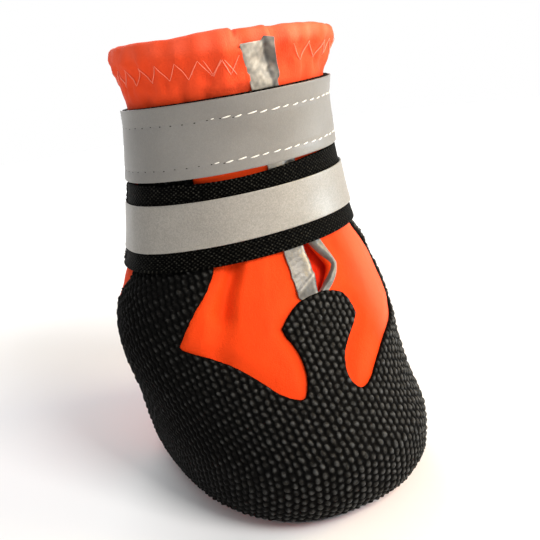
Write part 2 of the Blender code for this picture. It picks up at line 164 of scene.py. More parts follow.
def degreesAcross(height, width):
    # angle that a width along the surface takes at the pattern's middle
    at = patternMiddle(height)
    across = lastPoint(at + 1, height) - lastPoint(at - 1, height)
    return 2 * width / np.linalg.norm(across, axis=-1)


def smoothStep(x):
    x = np.clip(x, 0, 1)
    return x * x * (3 - 2 * x)


def hump(x, reach):
    # 1 at 0 with a soft fall to both sides
    return np.exp(-(x / reach) ** 2)


def fromToe(angle):
    # the same direction as -180 to 180 degrees from the toe
    return (np.asarray(angle, float) + 180) % 360 - 180


def runLength(points):
    # length along a line of points, from its start to each of them
    return np.concatenate(([0], np.cumsum(np.linalg.norm(np.diff(points, axis=0), axis=1))))


def levelNoise(point, size, seed):
    # soft repeatable unevenness from a few crossed waves, about -1 to 1
    draw = np.random.default_rng(seed)
    total = 0
    for _ in range(9):
        way = draw.normal(size=3)
        way /= np.linalg.norm(way)
        turns = 2 * math.pi / (size * draw.uniform(0.6, 1.5))
        total = total + np.sin(point @ way * turns + draw.uniform(0, 6.3))
    return total / 4


def makePiece(name, points, faces, finish, replaced=(), attributes=None):
    # a mesh of this object that rides on the boot and stands for the named solids
    mesh = bpy.data.meshes.new(name)
    mesh.from_pydata(np.asarray(points).reshape(-1, 3).tolist(), [], [list(map(int, f)) for f in faces])
    for key, values in (attributes or {}).items():
        kind, field = ("FLOAT_VECTOR", "vector") if values.ndim == 2 else ("FLOAT", "value")
        layer = mesh.attributes.new(key, kind, "POINT")
        layer.data.foreach_set(field, values.ravel())
    bm = bmesh.new()
    bm.from_mesh(mesh)
    bmesh.ops.remove_doubles(bm, verts=bm.verts, dist=0.002 * mm)
    loose = [v for v in bm.verts if not v.link_faces]
    bmesh.ops.delete(bm, geom=loose, context="VERTS")
    bm.to_mesh(mesh)
    bm.free()
    mesh.shade_smooth()
    mesh.materials.append(finish)
    piece = bpy.data.objects.new(name, mesh)
    bpy.context.scene.collection.objects.link(piece)
    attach(piece, "root")
    if replaced:
        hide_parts(*replaced)
    print(name, "made,", len(mesh.polygons), "faces")


def gridFaces(rows, columns, start=0, flip=False):
    at = np.arange(rows * columns).reshape(rows, columns) + start
    quads = np.stack((at[:-1, :-1], at[:-1, 1:], at[1:, 1:], at[1:, :-1]), axis=-1).reshape(-1, 4)
    return quads[:, ::-1] if flip else quads


def roundRim(outer, inner, axis, bulge):
    # carries both faces of a sheet on to a shared round edge at each end of one direction
    outer = np.moveaxis(outer, axis, 0)
    inner = np.moveaxis(inner, axis, 0)
    ends = []
    for last, before in ((0, 1), (-1, -2)):
        centre = (outer[last] + inner[last]) / 2
        half = (outer[last] - inner[last]) / 2
        ahead = centre - (outer[before] + inner[before]) / 2
        ahead /= np.maximum(np.linalg.norm(ahead, axis=-1, keepdims=True), 1e-9)
        radius = np.linalg.norm(half, axis=-1, keepdims=True) * bulge
        turns = np.radians((35, 65, 90))
        ends.append((
            [centre + half * math.cos(t) + ahead * radius * math.sin(t) for t in turns],
            [centre - half * math.cos(t) + ahead * radius * math.sin(t) for t in turns],
        ))
    (startOuter, startInner), (endOuter, endInner) = ends
    outer = np.concatenate((np.array(startOuter[::-1]), outer, np.array(endOuter)))
    inner = np.concatenate((np.array(startInner[::-1]), inner, np.array(endInner)))
    return np.moveaxis(outer, 0, axis), np.moveaxis(inner, 0, axis)


def rimmed(values):
    # the same extension for a value kept at each point of a sheet
    return np.pad(values, [(3, 3), (3, 3)] + [(0, 0)] * (values.ndim - 2), mode="edge")


def softSheet(outer, inner, bulge=0.9):
    # closed body between two grids of points, round at all its edges
    outer, inner = roundRim(outer, inner, 0, bulge)
    outer, inner = roundRim(outer, inner, 1, bulge)
    rows, columns = outer.shape[:2]
    faces = np.concatenate((
        gridFaces(rows, columns),
        gridFaces(rows, columns, rows * columns, flip=True),
    ))
    return np.concatenate((outer.reshape(-1, 3), inner.reshape(-1, 3))), faces


def distanceToOutline(point, outline):
    # distance to a closed outline, + inside it, and the nearest point on the outline
    batch = 4000    # points at a time
    start = outline
    along = np.roll(outline, -1, axis=0) - outline
    length2 = np.maximum((along ** 2).sum(1), 1e-18)
    far = np.empty(len(point))
    nearest = np.empty((len(point), 2))
    for k in range(0, len(point), batch):
        p = point[k:k + batch, None, :]
        share = np.clip(((p - start) * along).sum(2) / length2, 0, 1)
        foot = start + share[..., None] * along
        gap = np.linalg.norm(p - foot, axis=2)
        best = gap.argmin(1)
        rows = np.arange(len(best))
        far[k:k + batch] = gap[rows, best]
        nearest[k:k + batch] = foot[rows, best]
        crosses = (start[:, 1] > p[..., 1]) != ((start + along)[:, 1] > p[..., 1])
        steep = np.where(along[:, 1] == 0, 1e-12, along[:, 1])
        atX = start[:, 0] + (p[..., 1] - start[:, 1]) * along[:, 0] / steep
        inside = (crosses & (p[..., 0] < atX)).sum(1) % 2 == 1
        far[k:k + batch] *= np.where(inside, 1, -1)
    return far, nearest


def snapToOutline(place, outline, cell):
    # moves the grid points next to an outline onto it; gives how far inside it each point lies
    far, nearest = distanceToOutline(place, outline)
    close = np.abs(far) < cell * 0.56    # just over half a cell
    place[close] = nearest[close]
    far[close] = 0
    return far


def trimmedFaces(rows, columns, removed):
    # faces of a grid without its removed points; a face that loses one corner stays as a triangle
    quads = gridFaces(rows, columns)
    lost = removed[quads]
    whole = quads[lost.sum(1) == 0]
    faces = whole.tolist()
    for quad, gone in zip(quads[lost.sum(1) == 1], lost[lost.sum(1) == 1]):
        faces.append([int(v) for v, g in zip(quad, gone) if not g])
    return faces


def rimFaces(points, faces, inward):
    # a skirt round the free edges of a sheet, as deep as the inward points
    used = dict.fromkeys((a, b) for face in faces for a, b in zip(face, face[1:] + face[:1]))
    free = [(a, b) for a, b in used if (b, a) not in used]
    border = sorted({v for edge in free for v in edge})
    lower = {v: len(points) + k for k, v in enumerate(border)}
    skirt = [[b, a, lower[a], lower[b]] for a, b in free]
    return np.concatenate((points, inward[border])), faces + skirt, border


def threadTubes(name, paths, normals, radius, finish, sides=6):
    # one joined mesh of short threads; each thread tapers into the cloth at its ends
    count = paths.shape[1]
    ahead = np.gradient(paths, axis=1)
    ahead /= np.linalg.norm(ahead, axis=2, keepdims=True)
    across = np.cross(ahead, normals)
    across /= np.linalg.norm(across, axis=2, keepdims=True)
    up = np.cross(across, ahead)
    share = np.linspace(0, 1, count)
    thick = radius * np.maximum(0.25, np.sin(math.pi * share)) ** 0.4
    turn = np.arange(sides) * 2 * math.pi / sides
    ring = across[:, :, None] * np.cos(turn)[:, None] + up[:, :, None] * np.sin(turn)[:, None]
    points = paths[:, :, None] + ring * thick[:, None, None]
    faces = []
    for k in range(len(paths)):
        start = k * count * sides
        for r in range(count - 1):
            for s in range(sides):
                a = start + r * sides + s
                b = start + r * sides + (s + 1) % sides
                faces.append([a, b, b + sides, a + sides])
        faces.append([start + s for s in reversed(range(sides))])
        faces.append([start + (count - 1) * sides + s for s in range(sides)])
    makePiece(name, points, faces, finish)


# Camera at the photograph's angle: a little above the boot, rolled, off its toe
view = {"eye": (-0.0901, -0.18774, 0.1278), "yaw": 26.4, "down": 18.4, "roll": -7.5, "lens": 48.8}


def makeCamera():
    yaw, down, roll = (math.radians(view[k]) for k in ("yaw", "down", "roll"))
    ahead = np.array((math.sin(yaw) * math.cos(down), math.cos(yaw) * math.cos(down), -math.sin(down)))
    right = np.array((math.cos(yaw), -math.sin(yaw), 0))
    up = np.cross(right, ahead)
    side = math.cos(roll) * right + math.sin(roll) * up
    top = -math.sin(roll) * right + math.cos(roll) * up
    data = bpy.data.cameras.new("photoCamera")
    data.lens = view["lens"]
    data.sensor_width = 36
    data.clip_start = 0.01
    camera = bpy.data.objects.new("photoCamera", data)
    turned = Matrix(np.stack((side, top, -ahead), axis=1).tolist()).to_4x4()
    camera.matrix_world = Matrix.Translation(view["eye"]) @ turned
    bpy.context.scene.collection.objects.link(camera)
    bpy.context.scene.camera = camera


makeCamera()
print("camera set")


def shaderOf(finish):
    return finish.node_tree.nodes["Principled BSDF"]


def newFinish(name, roughness, colour=(0.5, 0.5, 0.5), **fixed):
    # a material whose even values sit on the shader itself
    finish = bpy.data.materials.new(name)
    finish.use_nodes = True
    shader = shaderOf(finish)
    shader.inputs["Base Color"].default_value = (*colour, 1)
    shader.inputs["Roughness"].default_value = roughness
    for socket, value in fixed.items():
        shader.inputs[socket.replace("_", " ")].default_value = value
    return finish


def addNode(finish, kind, **settings):
    node = finish.node_tree.nodes.new(kind)
    for key, value in settings.items():
        if key in node.inputs.keys():
            node.inputs[key].default_value = value
        else:
            setattr(node, key, value)
    return node


def join(finish, source, target):
    finish.node_tree.links.new(source, target)


def grey(value):
    return (value, value, value)


def keptAtPoints(finish, name, output="Fac"):
    # what the piece keeps at its points under this name
    return addNode(finish, "ShaderNodeAttribute", attribute_name=name).outputs[output]


def coloured(finish, colour, shade=None):
    # the finish's own colour, darkened by a shade where there is one
    if shade:
        mix = addNode(finish, "ShaderNodeMix", data_type="RGBA", blend_type="MULTIPLY")
        mix.inputs["Factor"].default_value = 1.0
        join(finish, colour, mix.inputs["A"])
        join(finish, shade, mix.inputs["B"])
        colour = mix.outputs["Result"]
    join(finish, colour, shaderOf(finish).inputs["Base Color"])


def tones(finish, source, colours):
    # colours along a 0 to 1 value: (place, colour) pairs
    ramp = addNode(finish, "ShaderNodeValToRGB")
    stops = ramp.color_ramp.elements
    while len(stops) < len(colours):
        stops.new(0.5)
    for stop, (place, colour) in zip(stops, colours):
        stop.position = place
        stop.color = (*colour, 1)
    join(finish, source, ramp.inputs["Fac"])
    return ramp.outputs["Color"]


def raised(finish, heights):
    # (value, distance) pairs pressed into the surface, coarse before fine
    before = None
    for value, distance in heights:
        bump = addNode(finish, "ShaderNodeBump")
        bump.inputs["Distance"].default_value = distance
        bump.inputs["Strength"].default_value = 1.0
        join(finish, value, bump.inputs["Height"])
        if before:
            join(finish, before, bump.inputs["Normal"])
        before = bump.outputs["Normal"]
    join(finish, before, shaderOf(finish).inputs["Normal"])


def objectPlace(finish):
    return addNode(finish, "ShaderNodeTexCoord").outputs["Object"]


def noiseValue(finish, scale, detail=3.0, output="Fac"):
    noise = addNode(finish, "ShaderNodeTexNoise", Scale=scale, Detail=detail)
    join(finish, objectPlace(finish), noise.inputs["Vector"])
    return noise.outputs[output]


def cellValue(finish, scale, output="Distance"):
    cells = addNode(finish, "ShaderNodeTexVoronoi", Scale=scale)
    join(finish, objectPlace(finish), cells.inputs["Vector"])
    return cells.outputs[output]


studio = {
    "skyLow": (1.0, 1.0, 1.0),
    "skyHigh": (0.44, 0.445, 0.455),
    "skyBlend": (0.12, 0.26),    # upward share of the direction where low turns to high
    "floor": (0.83, 0.83, 0.83),
    "floorRadius": 0.8,
    "floorDrop": 0.1 * mm,
    "paleFrom": 0.12,            # metres from the boot
    "paleTo": 0.42,
    "farGlow": (0.20, 0.20, 0.20),
    "lampsAim": (0, 0, 0.05),
    # name, place, power in watts, size, colour
    "lamps": (
        ("keyLamp", (0.22, -0.56, 0.55), 5.6, 0.32, (1.0, 0.97, 0.94)),
        ("sideLamp", (0.62, -0.26, 0.12), 2.3, 0.26, (0.66, 0.83, 1.0)),
        ("warmLamp", (0.34, -0.20, 0.26), 1.3, 0.18, (1.0, 0.72, 0.32)),
        ("backLamp", (0.10, 0.70, 0.55), 4.0, 0.60, (1.0, 1.0, 1.0)),
    ),
}


def makeStudio():
    world = bpy.data.worlds.new("studioSky")
    world.use_nodes = True
    axes = addNode(world, "ShaderNodeSeparateXYZ")
    join(world, addNode(world, "ShaderNodeTexCoord").outputs["Generated"], axes.inputs["Vector"])
    low, high = studio["skyBlend"]
    sky = tones(world, axes.outputs["Z"], ((low, studio["skyLow"]), (high, studio["skyHigh"])))
    join(world, sky, world.node_tree.nodes["Background"].inputs["Color"])
    bpy.context.scene.world = world
    bpy.context.scene.view_settings.view_transform = "Standard"
    for name, place, power, size, colour in studio["lamps"]:
        lamp = bpy.data.lights.new(name, "AREA")
        lamp.energy = power
        lamp.size = size
        lamp.color = colour
        holder = bpy.data.objects.new(name, lamp)
        aim = Vector(place) - Vector(studio["lampsAim"])
        turned = aim.to_track_quat("Z", "Y").to_matrix().to_4x4()
        holder.matrix_world = Matrix.Translation(place) @ turned
        bpy.context.scene.collection.objects.link(holder)
    bm = bmesh.new()
    bmesh.ops.create_circle(bm, cap_ends=True, segments=96, radius=studio["floorRadius"])
    mesh = bpy.data.meshes.new("studioFloor")
    bm.to_mesh(mesh)
    bm.free()
    floor = bpy.data.objects.new("studioFloor", mesh)
    # the floor is painted paler outwards and glows there, a painted light, so that its far edge goes over
    # into the sky
    paint = newFinish("floorPaint", 0.9, Emission_Strength=1.0)
    away = addNode(paint, "ShaderNodeVectorMath", operation="LENGTH")
    join(paint, objectPlace(paint), away.inputs[0])
    near, far = studio["paleFrom"], studio["paleTo"]
    coloured(paint, tones(paint, away.outputs["Value"], ((near, studio["floor"]), (far, grey(1.0)))))
    glow = tones(paint, away.outputs["Value"], ((near, grey(0.0)), (far, studio["farGlow"])))
    join(paint, glow, shaderOf(paint).inputs["Emission Color"])
    mesh.materials.append(paint)
    floor.location.z = -studio["floorDrop"]
    bpy.context.scene.collection.objects.link(floor)


makeStudio()
print("studio lit")


def neopreneFinish(name, deep, mid, light, sheen):
    # its points may keep how much painted highlight turns the neoprene towards coral
    highlightCoral = (0.95, 0.148, 0.074, 1)
    finish = newFinish(name, 0.72, Specular_IOR_Level=0.08, Sheen_Weight=sheen,
                       Sheen_Roughness=0.45, Sheen_Tint=(1.0, 0.55, 0.35, 1.0))
    colour = tones(finish, noiseValue(finish, 70, 4.0), ((0.30, deep), (0.50, mid), (0.75, light)))
    mix = addNode(finish, "ShaderNodeMix", data_type="RGBA")
    mix.inputs["B"].default_value = highlightCoral
    join(finish, keptAtPoints(finish, "paintedHighlight"), mix.inputs["Factor"])
    join(finish, colour, mix.inputs["A"])
    coloured(finish, mix.outputs["Result"])
    wrinkles = noiseValue(finish, 420, 2.0)
    knit = cellValue(finish, 2600)
    raised(finish, ((wrinkles, 0.16 * mm), (knit, 0.07 * mm)))
    return finish


orangeNeoprene = neopreneFinish("orangeNeoprene", (0.66, 0.040, 0.003), (0.71, 0.046, 0.004),
                                (0.75, 0.054, 0.005), 0.03)
gussetJersey = neopreneFinish("gussetJersey", (0.72, 0.020, 0.004), (0.80, 0.028, 0.005),
                              (0.88, 0.042, 0.008), 0.08)


def meshFinish():
    # black spacer mesh: knobs catch the light, the pits between them stay dark
    finish = newFinish("blackSpacerMesh", 0.5, Specular_IOR_Level=0.06)
    knob = keptAtPoints(finish, "knob")
    colour = tones(finish, knob, ((0.0, (0.0004, 0.0003, 0.0002)), (0.38, (0.0030, 0.0028, 0.0024)),
                                  (0.76, (0.0480, 0.0480, 0.0465)), (1.0, (0.0740, 0.0750, 0.0750))))
    dust = noiseValue(finish, 900, 2.0)
    tint = tones(finish, dust, ((0.38, (0.34, 0.31, 0.27)), (0.52, (0.75, 0.74, 0.72)), (0.66, grey(1.0))))
    coloured(finish, colour, tint)
    gloss = addNode(finish, "ShaderNodeMapRange")
    gloss.inputs["To Min"].default_value = 0.80
    gloss.inputs["To Max"].default_value = 0.40
    join(finish, knob, gloss.inputs["Value"])
    join(finish, gloss.outputs["Result"], shaderOf(finish).inputs["Roughness"])
    coarse = noiseValue(finish, 1100, 2.0)
    fine = noiseValue(finish, 3600, 2.0)
    raised(finish, ((coarse, 0.30 * mm), (fine, 0.08 * mm)))
    return finish


blackSpacerMesh = meshFinish()


tapeBeads = 3200    # beads per metre


def tapeFinish(name, dark, light, sparkle):
    # silver-grey reflective tape: tiny beads under a matt grey skin
    finish = newFinish(name, 0.42, Metallic=0.25, Sheen_Weight=0.1)
    base = tones(finish, noiseValue(finish, 60, 5.0), ((0.3, dark), (0.7, light)))
    beads = cellValue(finish, tapeBeads, "Color")
    coloured(finish, base, tones(finish, beads, ((0.2, grey(1 - sparkle)), (0.9, grey(1 + sparkle)))))
    raised(finish, ((noiseValue(finish, 300, 3.0), 0.08 * mm), (cellValue(finish, tapeBeads), 0.02 * mm)))
    return finish


upperTapeGrey = tapeFinish("upperTapeGrey", (0.158, 0.149, 0.135), (0.192, 0.182, 0.165), 0.05)
lowerTapeGrey = tapeFinish("lowerTapeGrey", (0.225, 0.209, 0.182), (0.280, 0.260, 0.228), 0.13)


def splitTapeFinish():
    # the same tape crumpled; its points keep how pale it is painted: painted highlights and shade on its
    # folds, crease and edges, with random crumple
    finish = newFinish("splitTapeGrey", 0.40, Metallic=0.2)
    dull, middling, pale = (0.060, 0.057, 0.052), (0.180, 0.168, 0.148), (0.50, 0.45, 0.37)
    base = tones(finish, keptAtPoints(finish, "crumpleAndPaintedLight"), ((0.0, dull), (0.5, middling), (1.0, pale)))
    grain = tones(finish, noiseValue(finish, 900, 3.0), ((0.3, grey(0.72)), (0.7, grey(1.0))))
    coloured(finish, base, grain)
    raised(finish, ((noiseValue(finish, 420, 3.0), 0.16 * mm), (cellValue(finish, tapeBeads), 0.02 * mm)))
    return finish


splitTapeGrey = splitTapeFinish()


def weaveFinish(name, dark, light, threadsAlong, threadsAcross):
    # woven webbing, from the strap's own lengthwise and crosswise sizes
    finish = newFinish(name, 0.60, Specular_IOR_Level=0.02)
    # threads wander a little
    wander = addNode(finish, "ShaderNodeVectorMath", operation="MULTIPLY_ADD")
    wander.inputs[1].default_value = (0.7 * mm,) * 3
    join(finish, noiseValue(finish, 900, 2.0, "Color"), wander.inputs[0])
    join(finish, keptAtPoints(finish, "cloth", "Vector"), wander.inputs[2])
    axes = addNode(finish, "ShaderNodeSeparateXYZ")
    join(finish, wander.outputs["Vector"], axes.inputs["Vector"])
    waves = []
    for axis, pitch in (("X", threadsAlong), ("Y", threadsAcross)):
        turn = addNode(finish, "ShaderNodeMath", operation="MULTIPLY")
        turn.inputs[1].default_value = math.pi / pitch
        join(finish, axes.outputs[axis], turn.inputs[0])
        wave = addNode(finish, "ShaderNodeMath", operation="SINE")
        join(finish, turn.outputs["Value"], wave.inputs[0])
        waves.append(wave.outputs["Value"])
    cross = addNode(finish, "ShaderNodeMath", operation="MULTIPLY")
    join(finish, waves[0], cross.inputs[0])
    join(finish, waves[1], cross.inputs[1])
    lift = addNode(finish, "ShaderNodeMapRange")
    lift.inputs["From Min"].default_value = -1.0
    join(finish, cross.outputs["Value"], lift.inputs["Value"])
    # thread crowns painted lighter than the gaps between them: painted glints and painted shade on the
    # weave
    colour = tones(finish, lift.outputs["Result"], ((0.58, dark), (1.0, light)))
    uneven = noiseValue(finish, 1300, 2.0)
    shade = tones(finish, uneven, ((0.36, grey(0.10)), (0.56, grey(0.80)), (0.70, grey(1.35))))
    coloured(finish, colour, shade)
    raised(finish, ((lift.outputs["Result"], 0.28 * mm), (noiseValue(finish, 2500, 2.0), 0.05 * mm)))
    return finish


blackWebbing = weaveFinish("blackWebbing", (0.0004, 0.0004, 0.0003), (0.0300, 0.0285, 0.0230),
                           0.72 * mm, 0.55 * mm)


def pileFinish():
    # looped pile: navy black with pale specks where single loops catch the light
    finish = newFinish("blackPile", 0.8, Specular_IOR_Level=0.2)
    gaps, yarn, specks = (0.0015, 0.0016, 0.0022), (0.010, 0.011, 0.015), (0.075, 0.080, 0.100)
    fleck = noiseValue(finish, 1500, 2.0)
    coloured(finish, tones(finish, fleck, ((0.40, gaps), (0.60, yarn), (0.72, specks))))
    raised(finish, ((noiseValue(finish, 1300, 3.0), 0.35 * mm),))
    return finish


blackPile = pileFinish()


def threadFinish(name, colour, sheen):
    finish = newFinish(name, 0.6, colour, Sheen_Weight=sheen)
    raised(finish, ((noiseValue(finish, 5000, 1.0), 0.03 * mm),))
    return finish


whiteThread = threadFinish("whiteThread", (0.80, 0.76, 0.68), 0.3)
peachThread = threadFinish("peachThread", (0.90, 0.22, 0.12), 0.2)


def rubberFinish():
    finish = newFinish("treadRubber", 0.42, Specular_IOR_Level=0.5)
    clean, dusty = (0.012, 0.014, 0.019), (0.026, 0.029, 0.036)
    coloured(finish, tones(finish, noiseValue(finish, 90, 5.0), ((0.3, clean), (0.7, dusty))))
    rough = tones(finish, noiseValue(finish, 160, 4.0), ((0.3, grey(0.36)), (0.75, grey(0.55))))
    join(finish, rough, shaderOf(finish).inputs["Roughness"])
    raised(finish, ((noiseValue(finish, 1500, 3.0), 0.03 * mm),))
    return finish


treadRubber = rubberFinish()


def insoleFinish():
    finish = newFinish("insoleCloth", 0.9, Sheen_Weight=0.2)
    cells = cellValue(finish, 900)
    coloured(finish, tones(finish, cells, ((0.1, (0.035, 0.035, 0.038)), (0.6, (0.012, 0.012, 0.013)))))
    raised(finish, ((cells, -0.15 * mm),))
    return finish


insoleCloth = insoleFinish()
print("finishes mixed")

# Orange window each side of the split, mirrored about the pattern's middle: share of the height,
# inner and outer edge in degrees from that middle. Below the split it is a lobe with a round tip
windowRows = np.array([
    (0.266, 11.6, 13.0), (0.270, 10.2, 16.0), (0.280, 8.9, 19.8), (0.293, 8.1, 22.8),
    (0.306, 7.9, 26.5), (0.320, 8.2, 31.0), (0.331, 8.9, 35.5), (0.342, 10.1, 43.0),
    (0.353, 11.8, 54.5), (0.358, 12.6, 56.8), (0.372, 15.2, 56.0), (0.387, 17.0, 55.3),
    (0.405, 15.2, 54.3), (0.420, 13.0, 53.6), (0.431, 10.4, 53.3), (0.438, 6.0, 53.1),
    (0.443, -0.8, 53.0), (0.480, -0.8, 52.5), (0.520, -0.8, 49.0), (0.600, -0.8, 49.0),
    (0.680, -0.8, 53.0), (0.800, -0.8, 58.0),
])

# Rear edge of the mesh: share of the height and degrees from the toe, on both sides
rearRows = np.array([
    (0.025, 106), (0.080, 113), (0.200, 118), (0.360, 112), (0.430, 103), (0.480, 95),
    (0.530, 91), (0.780, 91),
], float)


def patternPlace(angle, height):
    # flat place on the pattern: length round the boot and height up it
    return np.stack((angle * boot["degreeSize"], height), axis=-1).reshape(-1, 2)


def windowOutline(side):
    # closed outline of one window, flat on the pattern
    tall = windowRows[:, 0] * boot["height"]
    fine = np.concatenate([np.linspace(a, b, 7)[:-1] for a, b in zip(tall[:-1], tall[1:])] + [tall[-1:]])
    inner = patternPlace(patternMiddle(fine) + side * np.interp(fine, tall, windowRows[:, 1]), fine)
    outer = patternPlace(patternMiddle(fine) + side * np.interp(fine, tall, windowRows[:, 2]), fine)
    return np.concatenate((inner, outer[::-1]))


def leanedHeight(angle, patternHeight):
    # level height of a pattern line: it leans fully above the foot, and not at all at the sole
    low = boot["upperBottom"]
    fade = smoothStep((patternHeight - low) / (boot["leanFrom"] - low))
    return patternHeight - boot["lean"] * fade * lastPoint(angle, patternHeight)[..., 0]


def patternHeightAt(angle, height):
    found = np.array(height, float)
    for _ in range(4):
        found = found + height - leanedHeight(angle, found)
    return found


def windowDepth(angle, height):
    # how far inside an orange window a point of the boot lies, - outside
    place = patternPlace(angle, patternHeightAt(angle, height))
    sides = [distanceToOutline(place, windowOutline(side))[0] for side in (-1, 1)]
    return np.maximum(*sides).reshape(np.shape(angle))


# Creases of the soft upper, listed: from and to (degrees from the toe, height), half width
# and depth, - for a trough and + for a ridge
creases = (
    ((-23, 0.0710), (-31, 0.0560), 0.0026, -0.0028),
    ((-31, 0.0560), (-37, 0.0470), 0.0034, -0.0012),
    ((-16, 0.0680), (-20, 0.0520), 0.0036, 0.0012),
    ((-38, 0.0660), (-43, 0.0520), 0.0030, 0.0008),
    ((-44, 0.0660), (-46, 0.0520), 0.0050, 0.0006),
    ((46, 0.0640), (40, 0.0480), 0.0050, 0.0008),
    ((29, 0.0640), (33, 0.0530), 0.0026, -0.0006),
    ((-100, 0.0640), (-74, 0.0560), 0.0030, -0.0007),
    ((72, 0.0560), (96, 0.0600), 0.0035, -0.0006),
    ((-100, 0.0600), (-150, 0.0560), 0.0035, -0.0007),
    ((120, 0.0590), (170, 0.0540), 0.0035, -0.0007),
    ((-120, 0.0460), (-170, 0.0400), 0.0045, -0.0006),
    ((130, 0.0440), (178, 0.0380), 0.0045, -0.0005),
    ((-44, 0.0240), (-10, 0.0300), 0.0045, -0.0005),
    ((20, 0.0280), (60, 0.0210), 0.0045, -0.0005),
    ((-74, 0.1230), (-70, 0.1060), 0.0028, -0.0008),
    ((-48, 0.1165), (-46, 0.1060), 0.0022, -0.0009),
    ((-33, 0.1165), (-35, 0.1060), 0.0020, -0.0009),
    ((-24, 0.1240), (-23, 0.1060), 0.0024, 0.0007),
    ((26, 0.1230), (22, 0.1060), 0.0024, -0.0008),
    ((48, 0.1190), (46, 0.1060), 0.0024, -0.0006),
    ((110, 0.1230), (114, 0.1040), 0.0030, -0.0008),
    ((150, 0.1180), (155, 0.1040), 0.0030, -0.0008),
    ((-160, 0.1180), (-150, 0.1040), 0.0030, -0.0008),
    ((-120, 0.1230), (-124, 0.1040), 0.0030, -0.0007),
)


def creased(angle, height):
    turned = fromToe(angle)
    total = np.zeros(np.broadcast(turned, height).shape)
    for (a0, h0), (a1, h1), width, depth in creases:
        start = np.array((a0 * boot["degreeSize"], h0))
        along = np.array((a1 * boot["degreeSize"], h1)) - start
        place = np.stack(np.broadcast_arrays(turned * boot["degreeSize"], height), axis=-1) - start
        share = np.clip((place @ along) / (along @ along), 0, 1)
        far = np.linalg.norm(place - share[..., None] * along, axis=-1)
        total += depth * hump(far, width)
    return total


split = {
    "end": 0.0545,
    "wideAt": 0.0603,
    "narrowAt": 0.0680,
    "closedAt": 0.0900,
    "wide": 9.6 * mm,
    "narrow": 5.0 * mm,
    "closed": 1.4 * mm,
    "seam": 0.05 * mm,
}


def splitHalf(height):
    # half the width of the front split along the surface
    tip = np.clip((height - split["end"]) / (split["wideAt"] - split["end"]), 0, 1)
    low = split["wide"] / 2 * np.sqrt(tip)
    high = np.interp(height, (split["wideAt"], split["narrowAt"], split["closedAt"]),
                     (split["wide"] / 2, split["narrow"] / 2, split["closed"] / 2))
    return np.maximum(np.where(height < split["wideAt"], low, high), split["seam"])


splitTapes = {
    "thick": 0.4 * mm,
    "columns": 26,
    "rightRows": 170,
    "leftRows": 90,
    "bottom": 0.0535,
    "wrap": 1.4 * mm,            # how far a tape rolls round the split's edge
    "wrapDeep": 1.5 * mm,
    "rightWidth": 5.6 * mm,
    "leftWidth": 3.4 * mm,
    "leftTop": 0.0880,
    "waistAt": (0.0545, 0.0575, 0.0608, 0.067),     # heights, with the narrow tape's share of its width
    "waist": (0.75, 0.36, 0.05, 0.42),
    "tuckedAt": 0.0549,          # below this height the tapes slip under the mesh
    "tuck": 0.42 * mm,
    "foldAt": 0.0578,            # diagonal fold of the wide tape
    "foldSlant": 4.0 * mm,
    "foldRise": 0.55 * mm,
    "crease": 0.27,              # share of the wide tape's width where it is creased at the collar
    "paleFrom": 0.085,           # the wide tape is painted paler above this height: painted light on its collar part, painted shade below
    "paleReach": 0.010,
    "strapTop": 0.1123,
    "collarShift": 1.6 * mm,     # how far the wide tape wanders off the middle at the collar
    "shiftFrom": 0.110,
    "shiftReach": 0.014,
    "overlap": 2.3 * mm,         # the wide tape's flap lies over the other flap at the collar
    "overlapFrom": 0.070,
    "overlapReach": 0.020,
}

upperParts = {
    "columns": 240,
    "rowStep": 1.0 * mm,
    "puff": 0.9 * mm,           # how far orange panels swell between their seams
    "puffReach": 4.0 * mm,
    "hemLow": 6.5 * mm,         # hem stitch below the collar's edge
    "hemTilt": 0.045,           # and how much it rises towards +X
    "puckerStep": 6.2 * mm,
    "pucker": 0.8 * mm,
    "hemDent": 0.55 * mm,
    "hemDeep": 13.0 * mm,       # hem turned in at the collar
    "hemThick": 1.3 * mm,
    "flapLip": 1.7 * mm,        # folded end of the flap over the wide tape
    "cornerRound": 2.2 * mm,    # at the flap's top corner
    "marginTopIn": 2.8 * mm,      # the margin's upper face starts this far in
    "panelTop": 0.100,          # the orange collar stands free of mesh above this height
    "collarFrom": 0.108,        # and is uneven above this one
    "liftUnderStraps": 1.2 * mm,
    "flare": 1.4 * mm,
    "flareAt": 30 * mm,
    "rimRoll": 1.4 * mm,        # the collar's edge rolls inward by this
    "rimDeep": 4.5 * mm,
    "marginRows": (7.5 * mm, 5.0 * mm, 3.0 * mm, 1.6 * mm),     # turned in under the foot
    "marginThick": 1.4 * mm,
}

highlightParts = {
    "collar": 0.27,             # painted highlight on the collar, full from a reach above a height
    "collarFrom": 0.106,
    "collarReach": 8 * mm,
    "rim": 0.45,
    "rimUneven": 0.25,
    "panel": 0.50,              # painted highlight on the outer half of the +X front panel, from an X place up to the straps
    "panelFrom": 0.019,
    "panelReach": 0.012,
    "panelTop": 0.085,
}


def rearAngle(height):
    return smoothThrough(rearRows[:, 0] * boot["height"], rearRows[:, 1], height)


def aboveStraps(angle, height, reach):
    # 0 up to the upper strap's top edge and 1 from a reach above it
    edge = strapHeight(angle, np.full_like(height, splitTapes["strapTop"]))
    return smoothStep((height - edge) / reach)


def collarShift(height):
    # how far the wide tape is off the pattern's middle
    share = smoothStep((height - splitTapes["shiftFrom"]) / splitTapes["shiftReach"])
    return splitTapes["collarShift"] * share


def hemLine(angle, height):
    # height of the hem's zigzag at this angle
    return boot["height"] - upperParts["hemLow"] + upperParts["hemTilt"] * lastPoint(angle, height)[..., 0]


def hemDip(angle, height):
    # shallow channel that the hem's stitches pull in
    return upperParts["hemDent"] * hump(height - hemLine(angle, height), 2.0 * mm)


